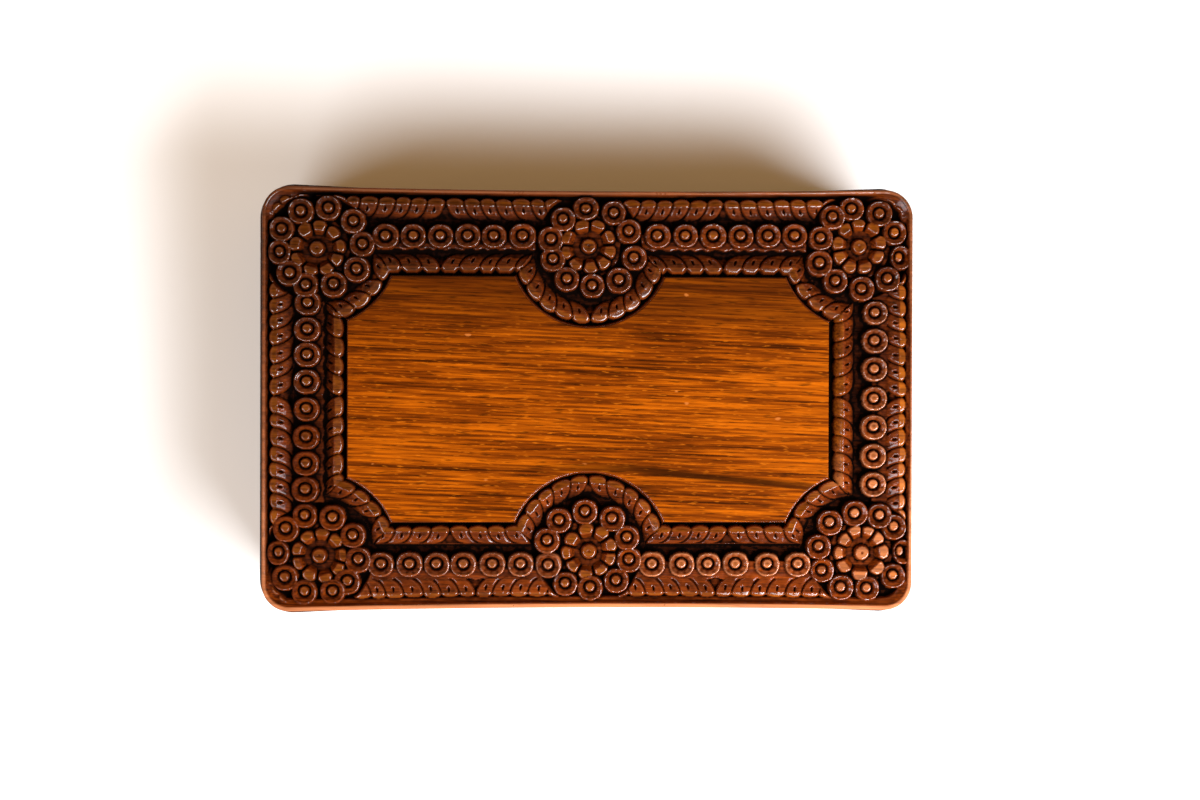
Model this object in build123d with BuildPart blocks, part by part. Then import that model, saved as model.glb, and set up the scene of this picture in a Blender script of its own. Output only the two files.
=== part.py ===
from build123d import *
import os
from math import cos, radians, sin, sqrt, tan

# A carved wooden keepsake box: four walls stand on a base board, and the hinged lid is a carved board
# on four rails. X runs along the box, +Y to the hinge side, +Z up. The origin is under the middle of
# the base board. All sizes are in millimetres.

# The box as a whole
box_length = 254.0  # across the lid board, along X
box_depth = 165.5  # across the lid board at its ends, along Y
corner_radius = 11.0  # of the lid board in plan
waist = 1.5  # how far each long edge of the lid board hollows in at mid length
base_thickness = 8.0
wall_height = 38.0
lid_gap = 0.5  # daylight between the walls and the closed lid
rail_height = 17.5
board_thickness = 12.0

# Boards
wall_thickness = 11.5  # the long walls have it at their waist
wall_stand = 2.2  # the walls stand out past the lid board by this at the corners
wall_waist = 3.4  # how far the long walls hollow in at mid length
base_stand = 1.5  # the base board stands out past the walls by this
edge_round = 2.4  # top edges of the lid board and of the base board
under_round = 1.8  # lower edge of the lid board
foot_round = 0.8  # lower edge of the base board
stop_angle = 50.0  # slope of each bevel along the back: the open lid stops at twice this
liner_thickness = 3.0
liner_rise = 4.0  # the liners stand above the walls by this and locate the lid
lid_clearance = 0.4  # from the liners to the rails
felt_thickness = 1.0
felt_margin = 0.3  # round each felt

# Carving of the lid board
rim_band = 3.0  # smooth band round the edge
side_border = 35.0  # from a long edge to the plain panel
end_border = 33.1  # from a short edge to the plain panel
carve_depth = 4.0  # from the panel down to the ground
relief_drop = 0.7  # the relief lies this far under the panel
channel_width = 1.1  # on both sides of the carved border
bead_width = 4.2
row_inset_side = 18.7  # from a long edge to its row of rings
row_inset_end = 16.1  # from a short edge to its row of rings
ring_radius = 5.2
ring_pitch = 10.8
rosette_inset_side = 23.0
rosette_inset_end = 20.8
rosette_bite = 31.8  # radius of the bites that the rosettes take out of the panel
rosette_circle = 15.6  # where a rosette's rings sit
rosette_ring_radius = 4.3
rosette_ring_count = 10
rosette_turn = 16.0  # degrees from +X to a rosette's first ring
row_clear = 26.6  # from a rosette's centre to the nearest ring of a row
groove_outer = 3.4  # radii of the groove in a ring's face
groove_inner = 1.6
groove_depth = 1.5
flower_count = 9
petal_inner = 4.1
petal_outer = 10.4
petal_angle = 31.0  # degrees that each petal spans
dome_radius = 3.0

# Carving of the front and side walls
frieze_depth = 2.0
frieze_margin = 5.0  # above and below the sunk field
frieze_end = 9.0  # from the field to a front wall's end or to a side wall's round corner
frieze_clear = 1.2  # from the field's ends to the outermost rings

# Hinges
hinge_length = 30.0
hinge_inset = 47.0  # from the lid board's end to the middle of a hinge
pin_inset = 3.2  # from the waist of the back wall to the pin's axis
pin_radius = 0.9
pin_clearance = 0.05
pin_head_radius = 1.4
pin_head_height = 0.6
barrel_radius = 1.9
barrel_clearance = 0.3
knuckle_count = 5
knuckle_gap = 0.3
leaf_thickness = 1.0
leaf_reach = 6.2  # from the pin's axis to the leaf's free edge
leaf_clearance = 0.1
hinge_screw_reach = 4.3  # from the pin's axis
hinge_screw_spacing = 18.0
hinge_screw_radius = 0.8
hinge_screw_head = 1.5
hinge_screw_length = 6.5

# Fasteners: a screw's head is a right-angled cone from head radius to shank radius
fastener_clearance = 0.05
slot_width = 0.5
slot_depth = 0.35
base_screw_radius = 1.5
base_screw_head = 3.0
base_screw_length = 24.0
board_screw_radius = 1.4
board_screw_head = 2.8
board_screw_length = 23.0
long_screw_inset = 47.0  # from the lid board's end
side_screw_spacing = 80.0
back_screw_spacing = 45.0  # in the back rail, between the hinges
nail_radius = 0.9
nail_head_radius = 1.7
nail_head_height = 0.8
nail_length = 28.0
nail_sink = 1.6  # the heads are punched in past the side walls' faces
nail_spacing = 18.0

# Levels
wall_top = base_thickness + wall_height
rail_bottom = wall_top + lid_gap
board_bottom = rail_bottom + rail_height
board_top = board_bottom + board_thickness
pin_z = wall_top + lid_gap / 2

# Lines in plan, each as a distance from the middle
half_length = box_length / 2
half_depth = box_depth / 2
wall_end = half_length + wall_stand
wall_face = half_depth + wall_stand - wall_waist
inner_end = wall_end - wall_thickness
inner_face = wall_face - wall_thickness
rail_inner_end = inner_end + lid_clearance
rail_inner_face = inner_face + lid_clearance
base_end = wall_end + base_stand
base_face = half_depth + wall_stand + base_stand
pin_y = wall_face - pin_inset
hinge_centres = {"left": hinge_inset - half_length, "right": half_length - hinge_inset}


def middle(pair):
    """Halfway between two values."""
    return (pair[0] + pair[1]) / 2


def spread(low, high, pitch):
    """Evenly spaced places from low to high, as near to the pitch as they come."""
    steps = max(1, round((high - low) / pitch))
    return [low + (high - low) * step / steps for step in range(steps + 1)]


def plan_outline(grow, hollow):
    """The lid board's plan, grown evenly: straight ends, hollow long sides, rounded corners."""
    length = half_length + grow
    depth = half_depth + grow
    with BuildSketch() as plan:
        with BuildLine():
            ThreePointArc((-length, depth), (0, depth - hollow), (length, depth))
            Line((length, depth), (length, -depth))
            ThreePointArc((length, -depth), (0, hollow - depth), (-length, -depth))
            Line((-length, -depth), (-length, depth))
        make_face()
        fillet(plan.vertices(), corner_radius + grow)
    return plan.sketch


def plan_strip(x, y):
    """What lies between two (low, high) pairs of the walls' plan."""
    with BuildSketch() as strip:
        add(plan_outline(wall_stand, wall_waist))
        with Locations((middle(x), middle(y))):
            Rectangle(x[1] - x[0], y[1] - y[0], mode=Mode.INTERSECT)
    return strip.sketch


def stop_bevel(level, direction):
    """Section of what the bevel takes off the back: direction is -1 in a wall, 1 in a rail."""
    run = base_face - pin_y
    with BuildSketch() as bevel:
        with BuildLine():
            Polyline(
                (pin_y, level),
                (base_face, level + direction * run * tan(radians(stop_angle))),
                (base_face, level),
                close=True,
            )
        make_face()
    return bevel.sketch


# Places of the fasteners. Each points along its own -Z.
long_screw_y = (rail_inner_face + pin_y) / 2
side_screw_x = (wall_end + rail_inner_end) / 2
long_screw_xs = [long_screw_inset - half_length, 0, half_length - long_screw_inset]
side_screw_ys = [-side_screw_spacing / 2, side_screw_spacing / 2]
side_screw_places = [(side * side_screw_x, y) for side in (-1, 1) for y in side_screw_ys]
front_screw_places = [(x, -long_screw_y) for x in long_screw_xs]
back_screw_places = [(x, long_screw_y) for x in long_screw_xs]
back_rail_places = [
    (x, long_screw_y) for x in (-back_screw_spacing, 0, back_screw_spacing)
]


def upward(places, level):
    """Seats at a level for fasteners that are driven up."""
    return [Location((x, y, level), (180, 0, 0)) for x, y in places]


base_screw_places = side_screw_places + front_screw_places + back_screw_places
board_screw_places = side_screw_places + front_screw_places + back_rail_places
nail_y = (wall_face + inner_face) / 2
wall_nail_levels = [base_thickness + (wall_height + step * nail_spacing) / 2 for step in (-1, 1)]
rail_nail_levels = [rail_bottom + rail_height / 2]


def nail_seats(levels):
    """Where the nails enter both ends of the box."""
    return [
        Location((side * wall_end, face * nail_y, level), (0, side * 90, 0))
        for side in (-1, 1)
        for face in (-1, 1)
        for level in levels
    ]


def nail_hole():
    """The hole that a nail and its sunk head fill in the side pieces and the long ones' ends."""
    CounterBoreHole(
        nail_radius + fastener_clearance,
        nail_head_radius + fastener_clearance,
        nail_sink + nail_head_height + fastener_clearance,
        nail_sink + nail_length + fastener_clearance,
    )


def screw(shank_radius, head_radius, length):
    """A countersunk wood screw along -Z, with its head's face at Z 0."""
    with BuildPart() as made:
        with BuildSketch(Plane.XZ):
            with BuildLine():
                Polyline(
                    (0, 0),
                    (head_radius, 0),
                    (shank_radius, shank_radius - head_radius),
                    (shank_radius, 2 * shank_radius - length),
                    (0, -length),
                    close=True,
                )
            make_face()
        revolve(axis=Axis.Z)
        with BuildSketch():
            Rectangle(2 * head_radius, slot_width)
        extrude(amount=-slot_depth, mode=Mode.SUBTRACT)
    return made.part


def nail():
    """A nail along -Z, with its head as deep as it is punched in."""
    head_bottom = -nail_sink - nail_head_height
    with BuildPart() as made:
        with BuildSketch(Plane.XZ):
            with BuildLine():
                Polyline(
                    (0, -nail_sink),
                    (nail_head_radius, -nail_sink),
                    (nail_head_radius, head_bottom),
                    (nail_radius, head_bottom),
                    (nail_radius, 2 * nail_radius - nail_sink - nail_length),
                    (0, -nail_sink - nail_length),
                    close=True,
                )
            make_face()
        revolve(axis=Axis.Z)
    return made.part


# Hinges. Their leaves lie flush in the wall and in the rail, and their knuckles share a pin.
plate_edge = pin_y - barrel_radius - barrel_clearance
knuckle_pitch = hinge_length / knuckle_count


def hinge_screw_seats(centre, side):
    """Where a leaf's screws enter: side is -1 for the wall's leaf and 1 for the lid's."""
    level = pin_z + side * lid_gap / 2
    turn = 90 + side * 90
    return [
        Location((centre + x, pin_y - hinge_screw_reach, level), (turn, 0, 0))
        for x in (-hinge_screw_spacing / 2, hinge_screw_spacing / 2)
    ]


def hinge_screw_hole():
    """The countersunk hole of a hinge screw."""
    CounterSinkHole(
        hinge_screw_radius + fastener_clearance,
        hinge_screw_head + fastener_clearance,
        hinge_screw_length + fastener_clearance,
        counter_sink_angle=90,
    )


def hinge_leaf(centre, side, first):
    """A leaf whose knuckles are every other one from the first."""
    leaf_level = pin_z + side * lid_gap / 2
    plate = (pin_y - leaf_reach, plate_edge)
    with BuildPart() as leaf:
        with BuildSketch(Plane.XY.offset(leaf_level)):
            with Locations((centre, middle(plate))):
                Rectangle(hinge_length, plate[1] - plate[0])
        extrude(amount=side * leaf_thickness)
        for index in range(first, knuckle_count, 2):
            start = centre - hinge_length / 2 + index * knuckle_pitch + knuckle_gap / 2
            with BuildSketch(Plane.YZ.offset(start)):
                with Locations((pin_y, pin_z)):
                    Circle(barrel_radius)
                with Locations(((plate_edge + pin_y) / 2, leaf_level + side * leaf_thickness / 2)):
                    Rectangle(pin_y - plate_edge, leaf_thickness)
            extrude(amount=knuckle_pitch - knuckle_gap)
        with BuildSketch(Plane.YZ.offset(centre)):
            with Locations((pin_y, pin_z)):
                Circle(pin_radius + pin_clearance)
        extrude(amount=hinge_length, both=True, mode=Mode.SUBTRACT)
        with Locations(*hinge_screw_seats(centre, side)):
            hinge_screw_hole()
    return leaf


def hinge_mortises(side):
    """What both hinges take out of the back wall (side -1) or the back rail (side 1)."""
    reach = leaf_reach + leaf_clearance
    pin_room = hinge_length + 2 * (pin_head_height + barrel_clearance)
    with BuildPart() as mortises:
        for centre in hinge_centres.values():
            with BuildSketch(Plane.XY.offset(pin_z)):
                with Locations((centre, pin_y - reach / 2)):
                    Rectangle(hinge_length + 2 * leaf_clearance, reach)
            extrude(amount=side * (lid_gap / 2 + leaf_thickness))
            with BuildSketch(Plane.YZ.offset(centre)):
                with Locations((pin_y, pin_z)):
                    Circle(barrel_radius + barrel_clearance)
            extrude(amount=pin_room / 2, both=True)
    return mortises.part


def hinge_pin(centre):
    """A pin with a head worked on each end."""
    with BuildPart() as pin:
        with BuildSketch(Plane.YZ.offset(centre)):
            with Locations((pin_y, pin_z)):
                Circle(pin_radius)
        extrude(amount=hinge_length / 2, both=True)
        for end in (-1, 1):
            with BuildSketch(Plane.YZ.offset(centre + end * hinge_length / 2)):
                with Locations((pin_y, pin_z)):
                    Circle(pin_head_radius)
            extrude(amount=end * pin_head_height)
    return pin


# The base board
with BuildPart() as base_board:
    with BuildSketch():
        add(plan_outline(wall_stand + base_stand, wall_waist))
    extrude(amount=base_thickness)
    fillet(base_board.edges().group_by(Axis.Z)[-1], edge_round)
    fillet(base_board.edges().group_by(Axis.Z)[0], foot_round)
    with Locations(*upward(base_screw_places, 0)):
        CounterSinkHole(
            base_screw_radius + fastener_clearance,
            base_screw_head + fastener_clearance,
            counter_sink_angle=90,
        )

# The walls, with a sunk field on the front and on both ends where a row of rings stands
wall_hole_radius = base_screw_radius + fastener_clearance
wall_hole_depth = base_screw_length - base_thickness + fastener_clearance
frieze_height = wall_height - 2 * frieze_margin
frieze_level = base_thickness + wall_height / 2
front_field = 2 * (inner_end - frieze_end)
side_field = 2 * (half_depth - corner_radius - frieze_end)


def frieze_field(length):
    """A sunk field round its rings, in the plane of a wall's face."""
    ring_end = length / 2 - frieze_clear - ring_radius
    ring_places = [(x, frieze_level) for x in spread(-ring_end, ring_end, ring_pitch)]
    with BuildSketch() as field:
        with Locations((0, frieze_level)):
            Rectangle(length, frieze_height)
        with Locations(*ring_places):
            Circle(ring_radius, mode=Mode.SUBTRACT)
    with BuildSketch() as grooves:
        with Locations(*ring_places):
            Circle(groove_outer)
            Circle(groove_inner, mode=Mode.SUBTRACT)
    return field.sketch, grooves.sketch


with BuildPart() as front_wall:
    with BuildSketch(Plane.XY.offset(base_thickness)):
        add(plan_strip((-inner_end, inner_end), (-base_face, -inner_face)))
    extrude(amount=wall_height)
    field, grooves = frieze_field(front_field)
    with BuildSketch(Plane.XZ.offset(wall_face - frieze_depth)):
        add(field)
    extrude(amount=base_face, mode=Mode.SUBTRACT)
    with BuildSketch(Plane.XZ.offset(wall_face - groove_depth)):
        add(grooves)
    extrude(amount=base_face, mode=Mode.SUBTRACT)
    with Locations(*upward(front_screw_places, base_thickness)):
        Hole(wall_hole_radius, wall_hole_depth)
    with Locations(*nail_seats(wall_nail_levels)):
        nail_hole()

with BuildPart() as back_wall:
    with BuildSketch(Plane.XY.offset(base_thickness)):
        add(plan_strip((-inner_end, inner_end), (inner_face, base_face)))
    extrude(amount=wall_height)
    with BuildSketch(Plane.YZ):
        add(stop_bevel(wall_top, -1))
    extrude(amount=base_end, both=True, mode=Mode.SUBTRACT)
    add(hinge_mortises(-1), mode=Mode.SUBTRACT)
    for centre in hinge_centres.values():
        with Locations(*hinge_screw_seats(centre, -1)):
            hinge_screw_hole()
    with Locations(*upward(back_screw_places, base_thickness)):
        Hole(wall_hole_radius, wall_hole_depth)
    with Locations(*nail_seats(wall_nail_levels)):
        nail_hole()

side_walls = {}
for side, name in ((-1, "left_wall"), (1, "right_wall")):
    outer_plane = Plane(origin=(0, 0, 0), x_dir=(0, side, 0), z_dir=(side, 0, 0))
    with BuildPart() as side_wall:
        with BuildSketch(Plane.XY.offset(base_thickness)):
            add(plan_strip(sorted((side * inner_end, side * base_end)), (-base_face, base_face)))
        extrude(amount=wall_height)
        field, grooves = frieze_field(side_field)
        with BuildSketch(outer_plane.offset(wall_end - frieze_depth)):
            add(field)
        extrude(amount=wall_thickness, mode=Mode.SUBTRACT)
        with BuildSketch(outer_plane.offset(wall_end - groove_depth)):
            add(grooves)
        extrude(amount=wall_thickness, mode=Mode.SUBTRACT)
        with BuildSketch(Plane.YZ):
            add(stop_bevel(wall_top, -1))
        extrude(amount=base_end, both=True, mode=Mode.SUBTRACT)
        with Locations(*upward(side_screw_places, base_thickness)):
            Hole(wall_hole_radius, wall_hole_depth)
        with Locations(*nail_seats(wall_nail_levels)):
            nail_hole()
    side_walls[name] = side_wall


# The lid's rails
def board_screw_hole():
    """The countersunk hole of a board screw through a rail."""
    CounterSinkHole(
        board_screw_radius + fastener_clearance,
        board_screw_head + fastener_clearance,
        counter_sink_angle=90,
    )


with BuildPart() as front_rail:
    with BuildSketch(Plane.XY.offset(rail_bottom)):
        add(plan_strip((-rail_inner_end, rail_inner_end), (-base_face, -rail_inner_face)))
    extrude(amount=rail_height)
    with Locations(*upward(front_screw_places, rail_bottom)):
        board_screw_hole()
    with Locations(*nail_seats(rail_nail_levels)):
        nail_hole()

with BuildPart() as back_rail:
    with BuildSketch(Plane.XY.offset(rail_bottom)):
        add(plan_strip((-rail_inner_end, rail_inner_end), (rail_inner_face, base_face)))
    extrude(amount=rail_height)
    with BuildSketch(Plane.YZ):
        add(stop_bevel(rail_bottom, 1))
    extrude(amount=base_end, both=True, mode=Mode.SUBTRACT)
    add(hinge_mortises(1), mode=Mode.SUBTRACT)
    for centre in hinge_centres.values():
        with Locations(*hinge_screw_seats(centre, 1)):
            hinge_screw_hole()
    with Locations(*upward(back_rail_places, rail_bottom)):
        board_screw_hole()
    with Locations(*nail_seats(rail_nail_levels)):
        nail_hole()

side_rails = {}
for side, name in ((-1, "left_rail"), (1, "right_rail")):
    with BuildPart() as side_rail:
        with BuildSketch(Plane.XY.offset(rail_bottom)):
            add(plan_strip(sorted((side * rail_inner_end, side * base_end)), (-base_face, base_face)))
        extrude(amount=rail_height)
        with BuildSketch(Plane.YZ):
            add(stop_bevel(rail_bottom, 1))
        extrude(amount=base_end, both=True, mode=Mode.SUBTRACT)
        with Locations(*upward(side_screw_places, rail_bottom)):
            board_screw_hole()
        with Locations(*nail_seats(rail_nail_levels)):
            nail_hole()
    side_rails[name] = side_rail

# The lid board, carved from its top: places in plan
rosette_x = half_length - rosette_inset_end
rosette_y = half_depth - rosette_inset_side
row_x = half_length - row_inset_end
row_y = half_depth - row_inset_side
rosette_places = [(side * rosette_x, face * rosette_y) for face in (-1, 1) for side in (-1, 0, 1)]


def row_ring_places():
    """The rings that stand in rows between the rosettes."""
    first_x = sqrt(row_clear**2 - (row_y - rosette_y) ** 2)
    first_y = rosette_y - sqrt(row_clear**2 - (row_x - rosette_x) ** 2)
    along = spread(first_x, rosette_x - first_x, ring_pitch)
    rows = [(side * x, face * row_y) for side in (-1, 1) for face in (-1, 1) for x in along]
    columns = [(side * row_x, y) for side in (-1, 1) for y in spread(-first_y, first_y, ring_pitch)]
    return rows + columns


def rosette_ring_places():
    """The rings round each rosette. Those next to the smooth rim are pushed in by it."""
    rim_x = half_length - rim_band - channel_width - rosette_ring_radius
    rim_y = half_depth - waist - rim_band - channel_width - rosette_ring_radius
    places = []
    for x, y in rosette_places:
        for step in range(rosette_ring_count):
            angle = radians(rosette_turn + 360 * step / rosette_ring_count)
            ring_x = x + rosette_circle * cos(angle)
            ring_y = y + rosette_circle * sin(angle)
            places.append((min(max(ring_x, -rim_x), rim_x), min(max(ring_y, -rim_y), rim_y)))
    return places


def cartouche(grow):
    """The plain panel's outline, grown evenly: a rectangle that the rosettes bite into."""
    with BuildSketch() as panel:
        Rectangle(2 * (half_length - end_border + grow), 2 * (half_depth - side_border + grow))
        with Locations(*rosette_places):
            Circle(rosette_bite - grow, mode=Mode.SUBTRACT)
    return panel.sketch


def flower():
    """A rosette's petals round the dome in their middle."""
    half_angle = radians(petal_angle / 2)
    inner = (petal_inner * cos(half_angle), petal_inner * sin(half_angle))
    tip_radius = petal_outer * sin(half_angle) / (1 + sin(half_angle))
    shoulder = (petal_outer - tip_radius, tip_radius)
    with BuildSketch() as petal:
        with BuildLine():
            Line(inner, shoulder)
            ThreePointArc(shoulder, (petal_outer, 0), (shoulder[0], -shoulder[1]))
            Line((shoulder[0], -shoulder[1]), (inner[0], -inner[1]))
            Line((inner[0], -inner[1]), inner)
        make_face()
    with BuildSketch() as petals:
        with PolarLocations(0, flower_count):
            add(petal.sketch)
        Circle(dome_radius)
    return petals.sketch


row_rings = row_ring_places()
rosette_rings = rosette_ring_places()
petals = flower()
with BuildPart() as lid_board:
    with BuildSketch(Plane.XY.offset(board_bottom)):
        add(plan_outline(0, waist))
    extrude(amount=board_thickness)
    fillet(lid_board.edges().group_by(Axis.Z)[-1], edge_round)
    fillet(lid_board.edges().group_by(Axis.Z)[0], under_round)
    with BuildSketch(Plane.XY.offset(board_top)):
        add(plan_outline(-rim_band, waist))
        add(cartouche(0), mode=Mode.SUBTRACT)
    extrude(amount=-relief_drop, mode=Mode.SUBTRACT)
    # The ground, round the two beads, the rings and the flowers
    with BuildSketch(Plane.XY.offset(board_top)):
        add(plan_outline(-rim_band, waist))
        add(plan_outline(-rim_band - channel_width, waist), mode=Mode.SUBTRACT)
        add(plan_outline(-rim_band - channel_width - bead_width, waist))
        add(cartouche(channel_width + bead_width), mode=Mode.SUBTRACT)
        add(cartouche(channel_width))
        add(cartouche(0), mode=Mode.SUBTRACT)
        with Locations(*row_rings):
            Circle(ring_radius, mode=Mode.SUBTRACT)
        with Locations(*rosette_rings):
            Circle(rosette_ring_radius, mode=Mode.SUBTRACT)
        with Locations(*rosette_places):
            add(petals, mode=Mode.SUBTRACT)
    extrude(amount=-carve_depth, mode=Mode.SUBTRACT)
    with BuildSketch(Plane.XY.offset(board_top)):
        with Locations(*row_rings):
            Circle(groove_outer)
        with Locations(*rosette_rings):
            Circle(groove_outer * rosette_ring_radius / ring_radius)
        with Locations(*row_rings, *rosette_rings):
            Circle(groove_inner, mode=Mode.SUBTRACT)
    extrude(amount=-relief_drop - groove_depth, mode=Mode.SUBTRACT)
    with Locations(*upward(board_screw_places, board_bottom)):
        Hole(
            board_screw_radius + fastener_clearance,
            board_screw_length - rail_height + fastener_clearance,
        )

# Inner liners: they stand on the base board against the walls, and the lid fits over them
liner_height = wall_height + liner_rise
liner_end = inner_end - liner_thickness
liner_face = inner_face - liner_thickness
liners = {}
for side, name in ((-1, "front_liner"), (1, "back_liner")):
    with BuildPart() as liner:
        with BuildSketch(Plane.XY.offset(base_thickness)):
            with Locations((0, side * (inner_face + liner_face) / 2)):
                Rectangle(2 * inner_end, liner_thickness)
        extrude(amount=liner_height)
    liners[name] = liner
for side, name in ((-1, "left_liner"), (1, "right_liner")):
    with BuildPart() as liner:
        with BuildSketch(Plane.XY.offset(base_thickness)):
            with Locations((side * (inner_end + liner_end) / 2, 0)):
                Rectangle(liner_thickness, 2 * liner_face)
        extrude(amount=liner_height)
    liners[name] = liner

# Felt on the floor and under the lid board
with BuildPart() as floor_felt:
    with BuildSketch(Plane.XY.offset(base_thickness)):
        Rectangle(2 * (liner_end - felt_margin), 2 * (liner_face - felt_margin))
    extrude(amount=felt_thickness)

with BuildPart() as lid_felt:
    with BuildSketch(Plane.XY.offset(board_bottom)):
        Rectangle(2 * (rail_inner_end - felt_margin), 2 * (rail_inner_face - felt_margin))
    extrude(amount=-felt_thickness)

# Fasteners, each kind one node of separate solids
one_nail = nail()
one_base_screw = screw(base_screw_radius, base_screw_head, base_screw_length)
one_board_screw = screw(board_screw_radius, board_screw_head, board_screw_length)
one_hinge_screw = screw(hinge_screw_radius, hinge_screw_head, hinge_screw_length)

with BuildPart() as wall_nails:
    with Locations(*nail_seats(wall_nail_levels)):
        add(one_nail)

with BuildPart() as rail_nails:
    with Locations(*nail_seats(rail_nail_levels)):
        add(one_nail)

with BuildPart() as base_screws:
    with Locations(*upward(base_screw_places, 0)):
        add(one_base_screw)

with BuildPart() as board_screws:
    with Locations(*upward(board_screw_places, rail_bottom)):
        add(one_board_screw)

pieces = {
    "base_board": base_board,
    "front_wall": front_wall,
    "back_wall": back_wall,
    **side_walls,
    **liners,
    "floor_felt": floor_felt,
    "wall_nails": wall_nails,
    "base_screws": base_screws,
    "lid_board": lid_board,
    "front_rail": front_rail,
    "back_rail": back_rail,
    **side_rails,
    "lid_felt": lid_felt,
    "rail_nails": rail_nails,
    "board_screws": board_screws,
}

# Two hinges, left and right
for hand, centre in hinge_centres.items():
    for side, leaf_name, first in ((-1, "wall", 0), (1, "lid", 1)):
        pieces[f"{hand}_hinge_{leaf_name}_leaf"] = hinge_leaf(centre, side, first)
        with BuildPart() as hinge_screws:
            with Locations(*hinge_screw_seats(centre, side)):
                add(one_hinge_screw)
        pieces[f"{hand}_hinge_{leaf_name}_screws"] = hinge_screws
    pieces[f"{hand}_hinge_pin"] = hinge_pin(centre)

os.makedirs("parts", exist_ok=True)
for name, piece in pieces.items():
    piece.part.label = name
    export_step(piece.part, f"parts/{name}.step")
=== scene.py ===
"""Looks of a carved wooden keepsake box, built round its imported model.

Sizes are in millimetres until a mesh is made, and the frame's in metres. X runs along the box, +Y to the
hinges and +Z up. Places on the lid are pixels of the photograph, read off it. The rows of rings were then
moved by the shifts measured between a render and the photograph.
"""

import logging
import math
from collections.abc import Sequence
from dataclasses import dataclass, field
from enum import Enum

import bpy
import numpy as np
from mathutils import Matrix, Vector
from mathutils.geometry import tessellate_polygon


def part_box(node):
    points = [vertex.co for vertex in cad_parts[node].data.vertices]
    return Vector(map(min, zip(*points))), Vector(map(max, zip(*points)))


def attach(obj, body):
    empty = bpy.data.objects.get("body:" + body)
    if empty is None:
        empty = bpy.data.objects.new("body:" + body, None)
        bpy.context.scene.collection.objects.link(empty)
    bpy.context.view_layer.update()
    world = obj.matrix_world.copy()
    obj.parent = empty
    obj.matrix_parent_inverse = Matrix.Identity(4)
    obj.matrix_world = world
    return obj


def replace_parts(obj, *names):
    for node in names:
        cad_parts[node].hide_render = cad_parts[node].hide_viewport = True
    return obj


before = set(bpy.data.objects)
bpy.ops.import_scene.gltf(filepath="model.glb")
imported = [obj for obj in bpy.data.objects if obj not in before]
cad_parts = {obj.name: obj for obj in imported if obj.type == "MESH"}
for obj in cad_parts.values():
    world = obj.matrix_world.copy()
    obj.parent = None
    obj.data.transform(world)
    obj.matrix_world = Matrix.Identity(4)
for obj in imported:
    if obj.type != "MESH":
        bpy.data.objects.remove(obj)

Pair = tuple[float, float]
Triple = tuple[float, float, float]
Quad = tuple[float, float, float, float]
Section = tuple[tuple[float, ...], tuple[float, ...]]  # places, and the levels there
Array = np.ndarray

LOG = logging.getLogger("keepsake_box")
MM = 0.001
FULL_DEPTH = 4.0  # the carving depth that the sections below are drawn for
CELL = 0.36  # spacing of the lid's carved surface
WALL_CELL = 0.5
LEAVES = 60  # more than a band has on either side of its mirror line
MIDDLE_COLUMN = 587.0  # the lid's middle, as a pixel of the photograph
MIDDLE_ROW = 399.0


@dataclass(frozen=True)
class View:
    """Where the photograph was taken from: over the lid, a little to the left of its middle."""

    place: Triple = (-27.0, 4.4, 776.0)
    aim: Triple = (4.08, -0.19, 76.0)
    lens: float = 53.9
    film: float = 36.0
    turn: float = 0.156  # degrees from the frame's +Y to the picture's, clockwise
    size: Pair = (1200.0, 800.0)

    def axes(self) -> tuple[Vector, Vector, Vector]:
        """The camera's directions.

        Returns:
            To its right, up its picture, and back.
        """
        back = (Vector(self.place) - Vector(self.aim)).normalized()
        right = Vector((0, 1, 0)).cross(back).normalized()
        up = back.cross(right)
        cos, sin = math.cos(math.radians(self.turn)), math.sin(math.radians(self.turn))
        return right * cos + up * sin, up * cos - right * sin, back

    def on_lid(self, px: float, py: float, level: float = 75.0) -> Pair:
        """A point of the carving from the pixel where it was read.

        Args:
            px: The pixel's column.
            py: The pixel's row.
            level: The point's Z.

        Returns:
            X and Y in millimetres.
        """
        right, up, back = self.axes()
        width, height = self.size
        share = self.film / (self.lens * width)
        ray = right * ((px - width / 2) * share) + up * ((height / 2 - py) * share) - back
        reach = (level - self.place[2]) / ray.z
        return self.place[0] + ray.x * reach, self.place[1] + ray.y * reach


VIEW = View()


def column(px: float) -> float:
    """X of the lid at a column of the photograph's pixels, in its middle row."""
    return VIEW.on_lid(px, MIDDLE_ROW)[0]


def row(py: float) -> float:
    """Y of the lid at a row of the photograph's pixels, in its middle column."""
    return VIEW.on_lid(MIDDLE_COLUMN, py)[1]


def paint(colour: Triple, share: float = 1.0) -> Quad:
    """A colour for a socket from its values on screen.

    Args:
        colour: Red, green and blue from 0 to 255.
        share: What these are multiplied by.

    Returns:
        The colour in linear light, with full alpha.
    """
    parts = [value * share / 255 for value in colour]
    linear = [p / 12.92 if p <= 0.04045 else ((p + 0.055) / 1.055) ** 2.4 for p in parts]
    return linear[0], linear[1], linear[2], 1.0


class Along(Enum):
    """Which way a board's grain runs."""

    X = (1.0, 0.0, 0.0)
    Y = (0.0, 1.0, 0.0)


# Shader graphs


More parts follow.
